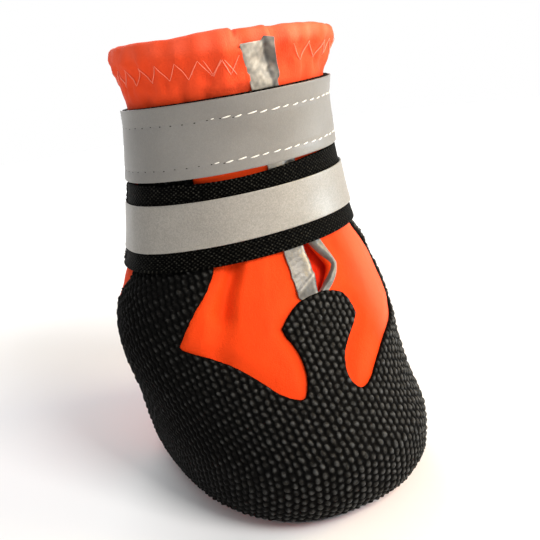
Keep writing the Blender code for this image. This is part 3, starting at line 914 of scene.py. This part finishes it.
def collarPucker(angle, height):
    # small gathers where the zigzag pulls the collar together
    base = lastPoint(angle, height)
    below = height - hemLine(angle, height)
    along = fromToe(angle) * 0.55 * mm
    wave = np.cos(2 * math.pi * along / upperParts["puckerStep"] + 1.6 * levelNoise(base, 11 * mm, 65))
    valley = (0.5 + 0.5 * wave) ** 2
    crest = (0.5 - 0.5 * wave) ** 2
    dents = valley * hump(below + 2.8 * mm, 1.7 * mm) + 0.6 * crest * hump(below - 2.0 * mm, 1.4 * mm)
    gathers = 0.5 * valley * smoothStep(-(below + 3 * mm) / (3 * mm))
    collar = smoothStep((height - upperParts["collarFrom"]) / (4 * mm))
    uneven = 0.45 * mm * levelNoise(base, 8 * mm, 64) * collar
    return uneven - upperParts["pucker"] * (dents + gathers)


def collarFlare(angle, height):
    # the collar opens outward above the straps, most on the +X side
    side = lastPoint(angle, height)[..., 0] / upperParts["flareAt"]
    return upperParts["flare"] * np.abs(side) * (1 + 0.45 * side) * aboveStraps(angle, height, 12 * mm)


def neopreneLift(angle, height):
    # swelling of the orange panels, flat under the mesh
    turned = fromToe(angle)
    behind = (np.abs(turned) - rearAngle(height)) * boot["degreeSize"]
    collar = height - upperParts["panelTop"]
    inside = np.maximum(np.maximum(windowDepth(turned, height), behind), collar)
    share = smoothStep(inside / upperParts["puffReach"])
    lift = upperParts["puff"] * share + creased(angle, height) * np.where(inside > 0, 1.0, 0.5)
    base = lastPoint(angle, height)
    bulge = -0.2 * mm + 0.30 * mm * levelNoise(base, 13 * mm, 61) + collarPucker(angle, height)
    lift = lift + collarFlare(angle, height) + bulge * aboveStraps(angle, height, 4 * mm)
    lift = lift + 0.15 * mm * levelNoise(base, 22 * mm, 62)
    held = np.minimum(lift, upperParts["liftUnderStraps"])
    return lift + (held - lift) * (1 - aboveStraps(angle, height, 1.5 * mm))


def flapLip(angle, height):
    # the right flap's folded end stands over the wide tape, the other flap is tucked under it
    turned = (angle - patternMiddle(height)) % 360
    degreeHere = 1 / degreesAcross(height, 1.0)
    fromLeft = turned * degreeHere
    fromRight = (360 - turned) * degreeHere
    corner = smoothStep((height - boot["height"] + 5 * mm) / (4.5 * mm)) ** 2
    tape = splitTapes["rightWidth"] + collarShift(height) + upperParts["cornerRound"] * corner
    lip = smoothStep((fromRight - tape) / (0.8 * mm))
    easing = 1 - smoothStep((fromRight - 12 * mm) / (14 * mm))
    tucked = 1 - smoothStep((fromLeft - 2 * mm) / (4.5 * mm))
    return upperParts["flapLip"] * (lip * easing - 0.7 * tucked) * aboveStraps(angle, height, 3 * mm)


def levelOutline(angle, height, out):
    # points round one level of the last, moved outward along the level
    around = lastPoint(angle + 0.5, height) - lastPoint(angle - 0.5, height)
    away = np.stack((around[:, 1], -around[:, 0]), axis=1)
    away /= np.linalg.norm(away, axis=1, keepdims=True)
    return lastPoint(angle, height)[:, :2] + away * out


def turnedMargin(angle, thick, least):
    # flat rows of the margin under the foot, so high above its underside and at least so far in
    rows = []
    for inset in upperParts["marginRows"]:
        row = levelOutline(angle, boot["upperBottom"], boot["neopreneOut"] - max(inset, least))
        rows.append(np.column_stack((row, np.full(len(row), boot["upperBottom"] + thick))))
    return np.array(rows)


def paintedNeopreneHighlight(points):
    # painted highlight, 0 none to 1 coral: the collar, most at its rim and towards +X, and the outer half
    # of the +X front panel
    x, y, z = points.T
    paintedHighlight = highlightParts["collar"] * smoothStep((z - highlightParts["collarFrom"]) / highlightParts["collarReach"])
    rim = smoothStep((z - boot["height"] + 4 * mm) / (3 * mm))
    paintedHighlight = paintedHighlight + rim * (highlightParts["rim"] + highlightParts["rimUneven"] * levelNoise(points, 6 * mm, 66))
    paintedHighlight = paintedHighlight * (0.45 + 0.55 * smoothStep((x + 0.030) / 0.030))
    panel = smoothStep((x - highlightParts["panelFrom"]) / highlightParts["panelReach"])
    return paintedHighlight + highlightParts["panel"] * (panel * (y < 0) * (z < highlightParts["panelTop"]))


def makeUpper():
    step = upperParts["rowStep"] * boot["quickStep"]
    count = int((boot["height"] - boot["upperBottom"]) / step)
    heights = np.linspace(boot["upperBottom"] + 1.0 * mm, boot["height"] - 1.1 * mm, count)
    share = np.linspace(0, 1, upperParts["columns"] // boot["quickStep"] + 1)
    share = share - 0.5 * np.sin(2 * math.pi * share) / (2 * math.pi)     # closer towards the split
    middle = patternMiddle(heights)
    half = degreesAcross(heights, splitHalf(heights))
    first = middle + half
    last = middle + 360 - half
    angle = first[:, None] + (last - first)[:, None] * share
    height = np.repeat(heights[:, None], len(share), axis=1)
    lift = neopreneLift(angle, height) - hemDip(angle, height) + flapLip(angle, height)
    rolled = smoothStep((height - boot["height"] + upperParts["rimDeep"]) / upperParts["rimDeep"])
    lift = lift - upperParts["rimRoll"] * rolled ** 2
    outer = onCollar(angle, height, boot["neopreneOut"] + lift)
    turnedIn = smoothStep((height - boot["height"] + upperParts["hemDeep"]) / (1.5 * mm))
    hem = upperParts["hemThick"] * turnedIn
    inner = onCollar(angle, height, boot["neopreneOut"] - boot["wall"] - hem + collarFlare(angle, height)
                     + 0.5 * creased(angle, height))
    collar = smoothStep((height - upperParts["collarFrom"]) / (16 * mm))
    wave = 0.3 * mm * levelNoise(lastPoint(angle, height), 24 * mm, 63) * collar
    outer[..., 2] += wave
    inner[..., 2] += wave
    below = turnedMargin(angle[0], 0, 0)
    above = turnedMargin(angle[0], upperParts["marginThick"], upperParts["marginTopIn"])
    outer = np.concatenate((below, outer))
    inner = np.concatenate((above, inner))
    points, faces = softSheet(outer, inner)
    makePiece("neopreneUpper", points, faces, orangeNeoprene, ["upper"],
              {"paintedHighlight": paintedNeopreneHighlight(points)})


makeUpper()

meshParts = {
    "top": 0.096,
    "strapFrom": 0.069,          # covered by the straps above this height
    "fineStep": 0.33 * mm,
    "coarseStep": 1.0 * mm,
    "columns": 520,
    "knobAcross": 2.0 * mm,      # from one column of knobs to the next, which is set half a knob lower
    "knobAlong": 2.2 * mm,       # from knob to knob in a column
    "knobWide": 0.97 * mm,
    "knobTall": 1.18 * mm,
    "relief": 0.58 * mm,
    "edgeFade": 0.5 * mm,
    "floorOut": -0.05 * mm,      # pits between the knobs, off the last
    "under": -0.55 * mm,
    "paintedLightAt": (-100, -60, -20, 30, 70),           # degrees from the toe, with painted light on the knobs: darker towards -X, lighter towards +X
    "paintedLight": (0.48, 0.52, 0.84, 1.0, 1.2),
}


def knobHeight(u, v):
    # round knobs, 1 on top of a knob and 0 in the pits
    across, along = meshParts["knobAcross"], meshParts["knobAlong"]
    nearest = np.full(u.shape, 1.0)
    for shiftU, shiftV in ((0, 0), (across, along / 2)):
        du = (u - shiftU + across) % (2 * across) - across
        dv = (v - shiftV + along / 2) % along - along / 2
        nearest = np.minimum(nearest, np.hypot(du / meshParts["knobWide"], dv / meshParts["knobTall"]))
    return np.clip(1 - nearest ** 2, 0, 1) ** 0.9


def makeMeshSkin():
    fine = np.arange(boot["upperBottom"], meshParts["strapFrom"], meshParts["fineStep"])
    coarse = np.arange(meshParts["strapFrom"], meshParts["top"], meshParts["coarseStep"])
    pattern = np.concatenate((fine, coarse))
    rows = len(pattern)
    columns = meshParts["columns"]
    angle = rearAngle(pattern)[:, None] * np.linspace(-1, 1, columns)
    pattern = np.repeat(pattern[:, None], columns, axis=1)
    place = patternPlace(angle, pattern)
    removed = np.zeros(len(place), bool)
    depth = np.full(len(place), -1.0)
    for side in (-1, 1):
        far = snapToOutline(place, windowOutline(side), meshParts["fineStep"])
        removed |= far > 0
        depth = np.maximum(depth, far)
    angle = (place[:, 0] / boot["degreeSize"]).reshape(rows, columns)
    pattern = place[:, 1].reshape(rows, columns)
    height = leanedHeight(angle, pattern)
    base = onLast(angle, height, 0.0)
    # lengths along the cloth, from the front middle and from the sole
    across = np.linalg.norm(np.diff(base, axis=1), axis=2)
    along = np.linalg.norm(np.diff(base, axis=0), axis=2)
    u = np.concatenate((np.zeros((rows, 1)), np.cumsum(across, axis=1)), axis=1)
    u -= u[:, columns // 2:columns // 2 + 1]
    v = np.concatenate((np.zeros((1, columns)), np.cumsum(along, axis=0)))
    wanderU = 0.20 * mm * levelNoise(base, 8 * mm, 4) + 0.16 * mm * levelNoise(base, 2.7 * mm, 7)
    wanderV = 0.20 * mm * levelNoise(base, 7 * mm, 6) + 0.18 * mm * levelNoise(base, 2.5 * mm, 8)
    knob = knobHeight(u + wanderU, v + wanderV)
    uneven = 1 + 0.30 * levelNoise(base, 2.3 * mm, 5)
    fromRear = (rearAngle(pattern) - np.abs(angle)) * boot["degreeSize"]
    settled = smoothStep(np.minimum(-depth.reshape(rows, columns), fromRear) / meshParts["edgeFade"])
    out = meshParts["floorOut"] + meshParts["relief"] * knob * uneven * (0.25 + 0.75 * settled)
    out = out + 0.25 * mm * settled + 0.5 * creased(angle, height)
    points = onLast(angle, height, out).reshape(-1, 3)
    inward = onLast(angle, height, meshParts["under"]).reshape(-1, 3)
    for grid in (points, inward):
        grid[:, 2] = np.maximum(grid[:, 2], boot["upperBottom"])
    faces = trimmedFaces(rows, columns, removed)
    points, faces, border = rimFaces(points, faces, inward)
    paintedLight = np.interp(angle, meshParts["paintedLightAt"], meshParts["paintedLight"])
    # the knobs' tone carries painted light: darker towards -X, lighter towards +X
    shade = (knob * paintedLight * np.clip(uneven, 0.6, 1.2) * (0.35 + 0.65 * settled)).reshape(-1)
    shade = np.concatenate((shade, np.zeros(len(border))))
    makePiece("meshSkin", points, faces, blackSpacerMesh, ["mesh_skin"], {"knob": shade})


makeMeshSkin()


def foldPlace(across, height):
    # how far above its diagonal fold a point of the wide tape lies
    return height - splitTapes["foldAt"] + (across - 0.5) * splitTapes["foldSlant"]


def tapeCrumpleAndPaintedLight(wide, across, height, base):
    # 0 dull grey to 1 pale cream: painted highlights on the fold, the edges and the part facing the light,
    #                              painted shade below the fold, along the crease and on the part turned
    #                              away, with random crumple
    crumple = 0.14 * levelNoise(base, 4 * mm, 33) + 0.10 * levelNoise(base, 1.7 * mm, 34)
    if not wide:
        edge = hump(across, 0.14) + hump(1 - across, 0.10)
        return np.clip(0.30 + 0.6 * crumple + 0.22 * edge, 0, 1)
    fold = foldPlace(across, height)
    below = 0.20 + 0.6 * crumple + 0.16 * smoothStep(fold / mm)
    below = below + 0.38 * hump(fold, 0.55 * mm) + 0.35 * hump(across - 0.20, 0.06)
    crease = across - 0.24
    above = 0.52 + 0.28 * smoothStep(crease / 0.08) + 1.3 * crumple - 0.25 * hump(crease, 0.06)
    share = smoothStep((height - splitTapes["paleFrom"]) / splitTapes["paleReach"])
    return np.clip(below + (above - below) * share, 0, 1)


def makeSplitTape(name, side, replaced):
    wide = side < 0
    top = boot["height"] - 1.3 * mm if wide else splitTapes["leftTop"]
    rows = splitTapes["rightRows"] if wide else splitTapes["leftRows"]
    height = np.linspace(splitTapes["bottom"], top, rows)
    middle = patternMiddle(height)
    wrapped = splitTapes["wrap"] * (1 - smoothStep((height - splitTapes["shiftFrom"]) / (3 * mm)))
    if wide:
        width = np.full(rows, splitTapes["rightWidth"])
        lapped = smoothStep((height - splitTapes["overlapFrom"]) / splitTapes["overlapReach"])
        overlap = splitTapes["overlap"] * lapped
        shift = collarShift(height)
    else:
        width = splitTapes["leftWidth"] * np.interp(height, splitTapes["waistAt"], splitTapes["waist"])
        overlap = 0
        shift = 0
        wrapped = wrapped * (1 - 0.45 * hump(height - split["wideAt"], 2.5 * mm))
    near = degreesAcross(height, splitHalf(height) - wrapped - overlap + shift)
    far = degreesAcross(height, splitHalf(height) + 0.2 * mm + width + shift)
    across = np.linspace(0, 1, splitTapes["columns"])
    angle = middle[:, None] + side * (near[:, None] + (far - near)[:, None] * across)
    height = np.repeat(height[:, None], len(across), axis=1)
    if wide:
        step = smoothStep((across - 0.22) / 0.12)
        height = height - 1.0 * mm * step * smoothStep((height - top + 5 * mm) / (5 * mm))
    place = across * (width[:, None] + splitTapes["wrap"] + 0.2 * mm)
    out = boot["neopreneOut"] + 0.35 * mm + neopreneLift(angle, height) - hemDip(angle, height)
    free = aboveStraps(angle, height, 2 * mm) if wide else 0
    turn = np.clip(1 - place / splitTapes["wrap"], 0, 0.98)
    out = out - splitTapes["wrapDeep"] * (1 - np.sqrt(1 - turn ** 2)) * (1 - free)
    base = onCollar(angle, height, 0.0)
    out = out + 0.14 * mm * levelNoise(base, 7 * mm, 31) + 0.05 * mm * levelNoise(base, 2.2 * mm, 32)
    if wide:
        out = out + splitTapes["foldRise"] * hump(foldPlace(across, height), 0.9 * mm)
        crease = splitTapes["crease"]
        raisedEdge = 1.2 * mm * np.maximum(0, 1 - across / crease)
        raisedEdge = raisedEdge + 0.9 * mm * np.maximum(0, (across - crease) / (1 - crease))
        out = out + raisedEdge * aboveStraps(angle, height, 4 * mm)
    out = out - splitTapes["tuck"] * (1 - smoothStep((height - splitTapes["tuckedAt"]) / (1.2 * mm)))
    outer = onCollar(angle, height, out + splitTapes["thick"])
    inner = onCollar(angle, height, out)
    crumpleAndPaintedLight = tapeCrumpleAndPaintedLight(wide, np.broadcast_to(across, height.shape), height, base)
    if side < 0:
        outer, inner, crumpleAndPaintedLight = outer[:, ::-1], inner[:, ::-1], crumpleAndPaintedLight[:, ::-1]
    points, faces = softSheet(outer, inner)
    crumpleAndPaintedLight = np.tile(rimmed(crumpleAndPaintedLight).reshape(-1), 2)
    makePiece(name, points, faces, splitTapeGrey, [replaced], {"crumpleAndPaintedLight": crumpleAndPaintedLight})


makeSplitTape("wideSplitTape", -1, "binding_right")
makeSplitTape("narrowSplitTape", 1, "binding_left")

gussetParts = {
    "rows": 120,
    "columns": 61,
    "bottom": 0.047,
    "top": 0.119,
    "width": 24 * mm,
    "gap": 0.5 * mm,
    "thick": 1.0 * mm,
    "fold": 1.6 * mm,            # how far its middle lies back
    "ridge": 1.1 * mm,           # height of the ridge down its middle
}


def makeGusset():
    height = np.linspace(gussetParts["bottom"], gussetParts["top"], gussetParts["rows"])
    across = np.linspace(-1, 1, gussetParts["columns"])
    half = degreesAcross(height, gussetParts["width"] / 2)
    angle = patternMiddle(height)[:, None] + half[:, None] * across
    height = np.repeat(height[:, None], len(across), axis=1)
    deep = -gussetParts["fold"] * (1 - across ** 2) + gussetParts["ridge"] * hump(across + 0.02, 0.10)
    out = boot["neopreneOut"] - boot["wall"] - gussetParts["gap"] + deep
    base = onCollar(angle, height, 0.0)
    outer = onCollar(angle, height, out + 0.2 * mm * levelNoise(base, 8 * mm, 41))
    inner = onCollar(angle, height, out - gussetParts["thick"])
    points, faces = softSheet(outer, inner)
    makePiece("frontGusset", points, faces, gussetJersey, ["gusset"])


makeGusset()

soleParts = {
    "outlinePoints": 260,
    "cell": 0.42 * mm,
    "depth": 1.2 * mm,
    "pitch": 2.9 * mm,           # from rib to rib
    "zigzag": 16.5 * mm,         # length and height of one zigzag
    "rise": 5.8 * mm,
    "edge": 0.7 * mm,            # radius of the sole's lower edge
    "ovalLength": 15.0 * mm,
    "ovalWidth": 11.0 * mm,
    "ovalFromHeel": 18.0 * mm,
    "ovalGroove": 1.0 * mm,
    "ringHalf": 0.55 * mm,
    "plainRim": 1.6 * mm,        # no tread this near the sole's edge
    "rimEase": 0.6 * mm,
}


def footOutline(height, inset):
    # closed level outline of the foot, moved in by an inset
    count = soleParts["outlinePoints"]
    return levelOutline(np.arange(count) * 360.0 / count, height, -inset)


def padFromOutline(outline, cell):
    # even grid of points trimmed to an outline
    low, high = outline.min(0) - cell, outline.max(0) + cell
    x = np.arange(low[0], high[0] + cell, cell)
    y = np.arange(low[1], high[1] + cell, cell)
    place = np.stack(np.meshgrid(x, y), axis=-1)
    rows, columns = place.shape[:2]
    place = place.reshape(-1, 2)
    far = snapToOutline(place, outline, cell)
    return place, far, trimmedFaces(rows, columns, far < 0)


def closedPad(place, faces, top, bottom):
    # both faces of a trimmed pad and the wall between them
    high = np.concatenate((place, top[:, None]), axis=1)
    low = np.concatenate((place, bottom[:, None]), axis=1)
    walls, border = rimFaces(high, faces, low)[1:]
    skirt = walls[len(faces):]
    lower = {len(high) + k: v for k, v in enumerate(border)}
    skirt = [[v if v < len(high) else len(high) + lower[v] for v in face] for face in skirt]
    under = [[v + len(high) for v in face[::-1]] for face in faces]
    return np.concatenate((high, low)), faces + skirt + under


def makeSole():
    outline = footOutline(boot["upperBottom"], boot["soleInset"])
    place, far, faces = padFromOutline(outline, soleParts["cell"])
    x, y = place[:, 0], place[:, 1]
    phase = np.abs((x / soleParts["zigzag"]) % 1.0 - 0.5) * 2
    zigzag = (phase - 0.5) * soleParts["rise"]
    rib = 0.5 + 0.5 * np.cos(2 * math.pi * (y - zigzag) / soleParts["pitch"])
    groove = 1 - np.clip(rib * 1.7, 0, 1) ** 0.6
    heel = outline[:, 1].max() - soleParts["ovalFromHeel"]
    reach = np.hypot(x / (soleParts["ovalLength"] / 2), (y - heel) / (soleParts["ovalWidth"] / 2))
    fromOval = (reach - 1) * soleParts["ovalWidth"] / 2
    groove = np.where(fromOval < soleParts["ovalGroove"], 0, groove)
    ring = hump(fromOval - soleParts["ovalGroove"] / 2, soleParts["ringHalf"])
    groove = np.maximum(groove, ring)
    rim = smoothStep((far - soleParts["plainRim"]) / soleParts["rimEase"])
    bottom = soleParts["depth"] * groove * rim
    edge = np.clip(1 - far / soleParts["edge"], 0, 1)
    bottom = bottom + soleParts["edge"] * (1 - np.sqrt(np.maximum(0, 1 - edge ** 2)))
    top = np.full(len(place), boot["soleThick"])
    points, faces = closedPad(place, faces, top, bottom)
    makePiece("treadSole", points, faces, treadRubber, ["outsole"])


makeSole()

insoleParts = {
    "bottom": 4.8 * mm,
    "top": 7.0 * mm,
    "level": 6.0 * mm,           # the last's level that gives its outline
    "inset": 3.3 * mm,
    "cell": 0.9 * mm,
    "edgeDrop": 0.9 * mm,
    "edgeWide": 2.5 * mm,
}


def makeInsole():
    outline = footOutline(insoleParts["level"], insoleParts["inset"])
    place, far, faces = padFromOutline(outline, insoleParts["cell"])
    flat = np.concatenate((place, np.zeros((len(place), 1))), axis=1)
    edge = 1 - smoothStep(far / insoleParts["edgeWide"])
    top = insoleParts["top"] - insoleParts["edgeDrop"] * edge + 0.10 * mm * levelNoise(flat, 14 * mm, 51)
    bottom = np.full(len(place), insoleParts["bottom"])
    points, faces = closedPad(place, faces, top, bottom)
    makePiece("footbed", points, faces, insoleCloth, ["insole"])


makeInsole()

strapParts = {
    "cell": 0.55 * mm,
    "inner": 1.1 * mm,           # inner face off the last
    "thick": 0.8 * mm,
    "start": -110, "end": 127,
    "rampStart": 84, "rampEnd": 97,
    "tabLifts": 112, "tabLift": 3.6 * mm,
    "loopStart": 99, "loopEnd": 249, "loopThick": 1.2 * mm, "loopMargin": 1.0 * mm,
    "gap": 0.3 * mm,
    "sag": 1.6 * mm,             # how far the lower strap's top edge gives way at the front
    "tapeThick": 0.4 * mm,
    "tapeStart": -108, "tapeEnd": 76,
    "ripple": 0.10 * mm,
    "channel": 0.14 * mm,        # under each row of stitches
    "pileLoops": 1500,           # yarn loops that stand out of each loop band
    "pileTall": 0.38 * mm,
    "pileLong": 0.45 * mm,
    "pileYarn": 0.07 * mm,
    # bottom and height of each strap, of its tape above the strap's bottom, what is trimmed off its
    # top edge, and the rows of stitches above the tape's bottom
    "lower": {"bottom": 0.0669, "height": 24.2 * mm, "tapeShift": 5.4 * mm, "tapeHeight": 12.9 * mm,
              "trim": 0.0, "rows": ()},
    "upper": {"bottom": 0.0919, "height": 20.4 * mm, "tapeShift": 0.0, "tapeHeight": 19.9 * mm,
              "trim": 0.6 * mm, "rows": (3.0 * mm, 14.9 * mm)},
}


def strapOut(angle):
    # inner face of a strap off the last: it climbs over its loop band, and its tab lifts off
    low, high = strapParts["rampStart"], strapParts["rampEnd"]
    climb = smoothStep((angle - low) / (high - low)) * (strapParts["loopThick"] + strapParts["gap"])
    first, end = strapParts["tabLifts"], strapParts["end"]
    lift = np.maximum(0, (angle - first) / (end - first)) ** 2 * strapParts["tabLift"]
    return strapParts["inner"] + climb + lift


def tapeRipple(which, angle, height):
    # unevenness of a tape, with a shallow channel under each row of stitches
    size = strapParts[which]
    base = onStrap(angle, height, 0.0)
    ripple = strapParts["ripple"] * levelNoise(base, 16 * mm, 11 if which == "lower" else 12)
    for row in size["rows"]:
        place = height - size["bottom"] - size["tapeShift"] - row
        ripple = ripple - strapParts["channel"] * hump(place, 0.6 * mm)
    return ripple


def bandGrid(low, high, start, end, stepSize):
    rows = max(3, int((high - low) / stepSize))
    columns = max(3, int((end - start) * boot["degreeSize"] * 0.9 / stepSize))
    return np.meshgrid(np.linspace(low, high, rows), np.linspace(start, end, columns), indexing="ij")


def clothPlace(height, angle, outer):
    # lengthwise and crosswise sizes of a strap, kept at its points for the weave
    steps = np.linalg.norm(np.diff(outer, axis=1), axis=2)
    along = np.concatenate((np.zeros((len(outer), 1)), np.cumsum(steps, axis=1)), axis=1)
    along = np.repeat(along[len(along) // 2][None], len(outer), axis=0)
    place = rimmed(np.stack((along, height, np.zeros_like(along)), axis=-1)).reshape(-1, 3)
    return np.concatenate((place, place))


def makeStrap(which):
    size = strapParts[which]
    step = strapParts["cell"] * boot["quickStep"]
    height, angle = bandGrid(size["bottom"], size["bottom"] + size["height"] - size["trim"],
                             strapParts["start"], strapParts["end"], step)
    if which == "lower":
        share = (height - size["bottom"]) / size["height"]
        height = height - strapParts["sag"] * share ** 4 * hump(angle + 22, 42)
    out = strapOut(angle)
    outer = onStrap(angle, height, out + strapParts["thick"])
    inner = onStrap(angle, height, out)
    points, faces = softSheet(outer, inner)
    makePiece(which + "Webbing", points, faces, blackWebbing, [which + "_strap"],
              {"cloth": clothPlace(height, angle, outer)})
    low = size["bottom"] + size["tapeShift"]
    height, angle = bandGrid(low, low + size["tapeHeight"],
                             strapParts["tapeStart"], strapParts["tapeEnd"], step)
    out = strapParts["inner"] + strapParts["thick"] + strapParts["gap"]
    ripple = tapeRipple(which, angle, height)
    outer = onStrap(angle, height, out + strapParts["tapeThick"] + ripple)
    inner = onStrap(angle, height, out + np.minimum(0, ripple))
    points, faces = softSheet(outer, inner)
    tapeGrey = lowerTapeGrey if which == "lower" else upperTapeGrey
    makePiece(which + "Tape", points, faces, tapeGrey, [which + "_strap_tape"])
    height, angle = bandGrid(size["bottom"] + strapParts["loopMargin"],
                             size["bottom"] + size["height"] - strapParts["loopMargin"],
                             strapParts["loopStart"], strapParts["loopEnd"], step)
    base = onStrap(angle, height, strapParts["inner"])
    fuzz = 0.12 * mm * levelNoise(base, 1.6 * mm, 21) + 0.08 * mm * levelNoise(base, 5 * mm, 22)
    outer = onStrap(angle, height, strapParts["inner"] + strapParts["loopThick"] + fuzz)
    points, faces = softSheet(outer, base)
    makePiece(which + "LoopPile", points, faces, blackPile, [which + "_strap_loop_band"])


def makePileLoops(which):
    # tiny loops of yarn that stand out of the pile, leaning every way
    size = strapParts[which]
    draw = np.random.default_rng(81 if which == "lower" else 82)
    count = strapParts["pileLoops"]
    share = np.linspace(0, 1, 5)
    angle = draw.uniform(strapParts["loopStart"] + 1, strapParts["loopEnd"] - 1, (count, 1))
    low = size["bottom"] + strapParts["loopMargin"] + 0.4 * mm
    high = size["bottom"] + size["height"] - strapParts["loopMargin"] - 0.4 * mm
    height = draw.uniform(low, high, (count, 1))
    way = draw.uniform(0, 2 * math.pi, (count, 1))
    reach = strapParts["pileLong"] * (share - 0.5)
    angle = angle + np.cos(way) * reach / boot["degreeSize"] * 1.6
    height = height + np.sin(way) * reach
    out = strapParts["inner"] + strapParts["loopThick"] + strapParts["pileTall"] * np.sin(math.pi * share)
    normals = lastNormal(angle, strapHeight(angle, height))
    threadTubes(which + "PileLoops", onStrap(angle, height, out), normals,
                strapParts["pileYarn"], blackPile, 4)


makeStrap("lower")
makeStrap("upper")
makePileLoops("lower")
makePileLoops("upper")

tapeStitches = {
    "pitch": 3.4 * mm,
    "length": 2.3 * mm,
    "radius": 0.20 * mm,
    "holeRadius": 0.17 * mm,
    "sunk": 0.45 * mm,           # how much deeper the thread lies near the fastening end
    "slant": 0.35 * mm,
    "arch": 0.17 * mm,           # how far a stitch's middle stands up
    "holeBefore": 0.45 * mm,     # from a needle hole to the start of its stitch
}


def makeTapeStitches():
    size = strapParts["upper"]
    low = size["bottom"] + size["tapeShift"]
    share = np.linspace(0, 1, 8)
    out = strapParts["inner"] + strapParts["thick"] + strapParts["gap"] + strapParts["tapeThick"]
    paths = []
    normals = []
    holes = []
    holeNormals = []
    draw = np.random.default_rng(71)
    for row in size["rows"]:
        fine = np.linspace(strapParts["tapeStart"] + 2, strapParts["tapeEnd"] - 2, 600)
        length = runLength(onStrap(fine, low + row, out))
        starts = np.arange(0.5 * mm, length[-1] - tapeStitches["length"], tapeStitches["pitch"])
        reach = tapeStitches["length"] * draw.uniform(0.75, 1.1, (len(starts), 1))
        angle = np.interp(starts[:, None] + share * reach, length, fine)
        lift = tapeStitches["arch"] * np.sin(math.pi * share) - 0.10 * mm
        height = low + row + draw.uniform(-0.15, 0.15, (len(starts), 1)) * mm
        height = height + (share - 0.5) * tapeStitches["slant"]
        sunk = tapeStitches["sunk"] * smoothStep((-24 - angle[:, :1]) / 18)
        lift = lift + tapeRipple("upper", angle, height) + 0.06 * mm
        paths.append(onStrap(angle, height, out + lift - sunk))
        normals.append(lastNormal(angle, strapHeight(angle, height)))
        # dark plugs in the needle holes: painted shade, sunk out of sight towards +X
        before = starts[:, None] - tapeStitches["holeBefore"] + np.linspace(-0.3, 0.3, 6) * mm
        spot = np.interp(before, length, fine)
        level = height[:, :1] + np.zeros(6)
        covered = 0.15 * mm * smoothStep((angle[:, :1] + 25) / 20)
        holes.append(onStrap(spot, level, out - 0.09 * mm - covered + tapeRipple("upper", spot, level)))
        holeNormals.append(lastNormal(spot, strapHeight(spot, level)))
    threadTubes("tapeStitches", np.concatenate(paths), np.concatenate(normals),
                tapeStitches["radius"], whiteThread)
    threadTubes("needleHoleShade", np.concatenate(holes), np.concatenate(holeNormals),
                tapeStitches["holeRadius"], blackWebbing, 8)


makeTapeStitches()

collarStitches = {
    "level": 8 * mm,             # below the collar's edge
    "fromSplit": (12, 15.5),     # degrees left bare at each side of the split
    "tall": 4.3 * mm,
    "step": 3.0 * mm,
    "radius": 0.125 * mm,
    "sewnBack": (0.4, 3.2, 0.7),     # steps from the flap's end: first, last and from one to the next
}


def makeCollarStitches():
    level = boot["height"] - collarStitches["level"]
    first, last = collarStitches["fromSplit"]
    fine = np.linspace(patternMiddle(level) + first, patternMiddle(level) + 360 - last, 900)
    length = runLength(onCollar(fine, level, 0.0))
    places = np.arange(0, length[-1], collarStitches["step"])
    # sewn back over itself at the flap's end
    doubled = length[-1] - np.arange(*collarStitches["sewnBack"]) * collarStitches["step"]
    share = np.linspace(0, 1, 9)
    angle = []
    height = []
    for row in (places, doubled):
        corners = np.interp(row, length, fine)
        middle = hemLine(corners, np.full_like(corners, level))
        ends = middle + collarStitches["tall"] / 2 * np.where(np.arange(len(corners)) % 2 == 0, 1, -1)
        angle.append(corners[:-1, None] + (corners[1:] - corners[:-1])[:, None] * share)
        height.append(ends[:-1, None] + (ends[1:] - ends[:-1])[:, None] * share)
    angle = np.concatenate(angle)
    height = np.concatenate(height)
    out = boot["neopreneOut"] + neopreneLift(angle, height) - hemDip(angle, height)
    out = out + flapLip(angle, height) + 0.12 * mm + 0.10 * mm * np.sin(math.pi * share)
    threadTubes("collarZigzag", onCollar(angle, height, out), lastNormal(angle, height),
                collarStitches["radius"], peachThread)


makeCollarStitches()
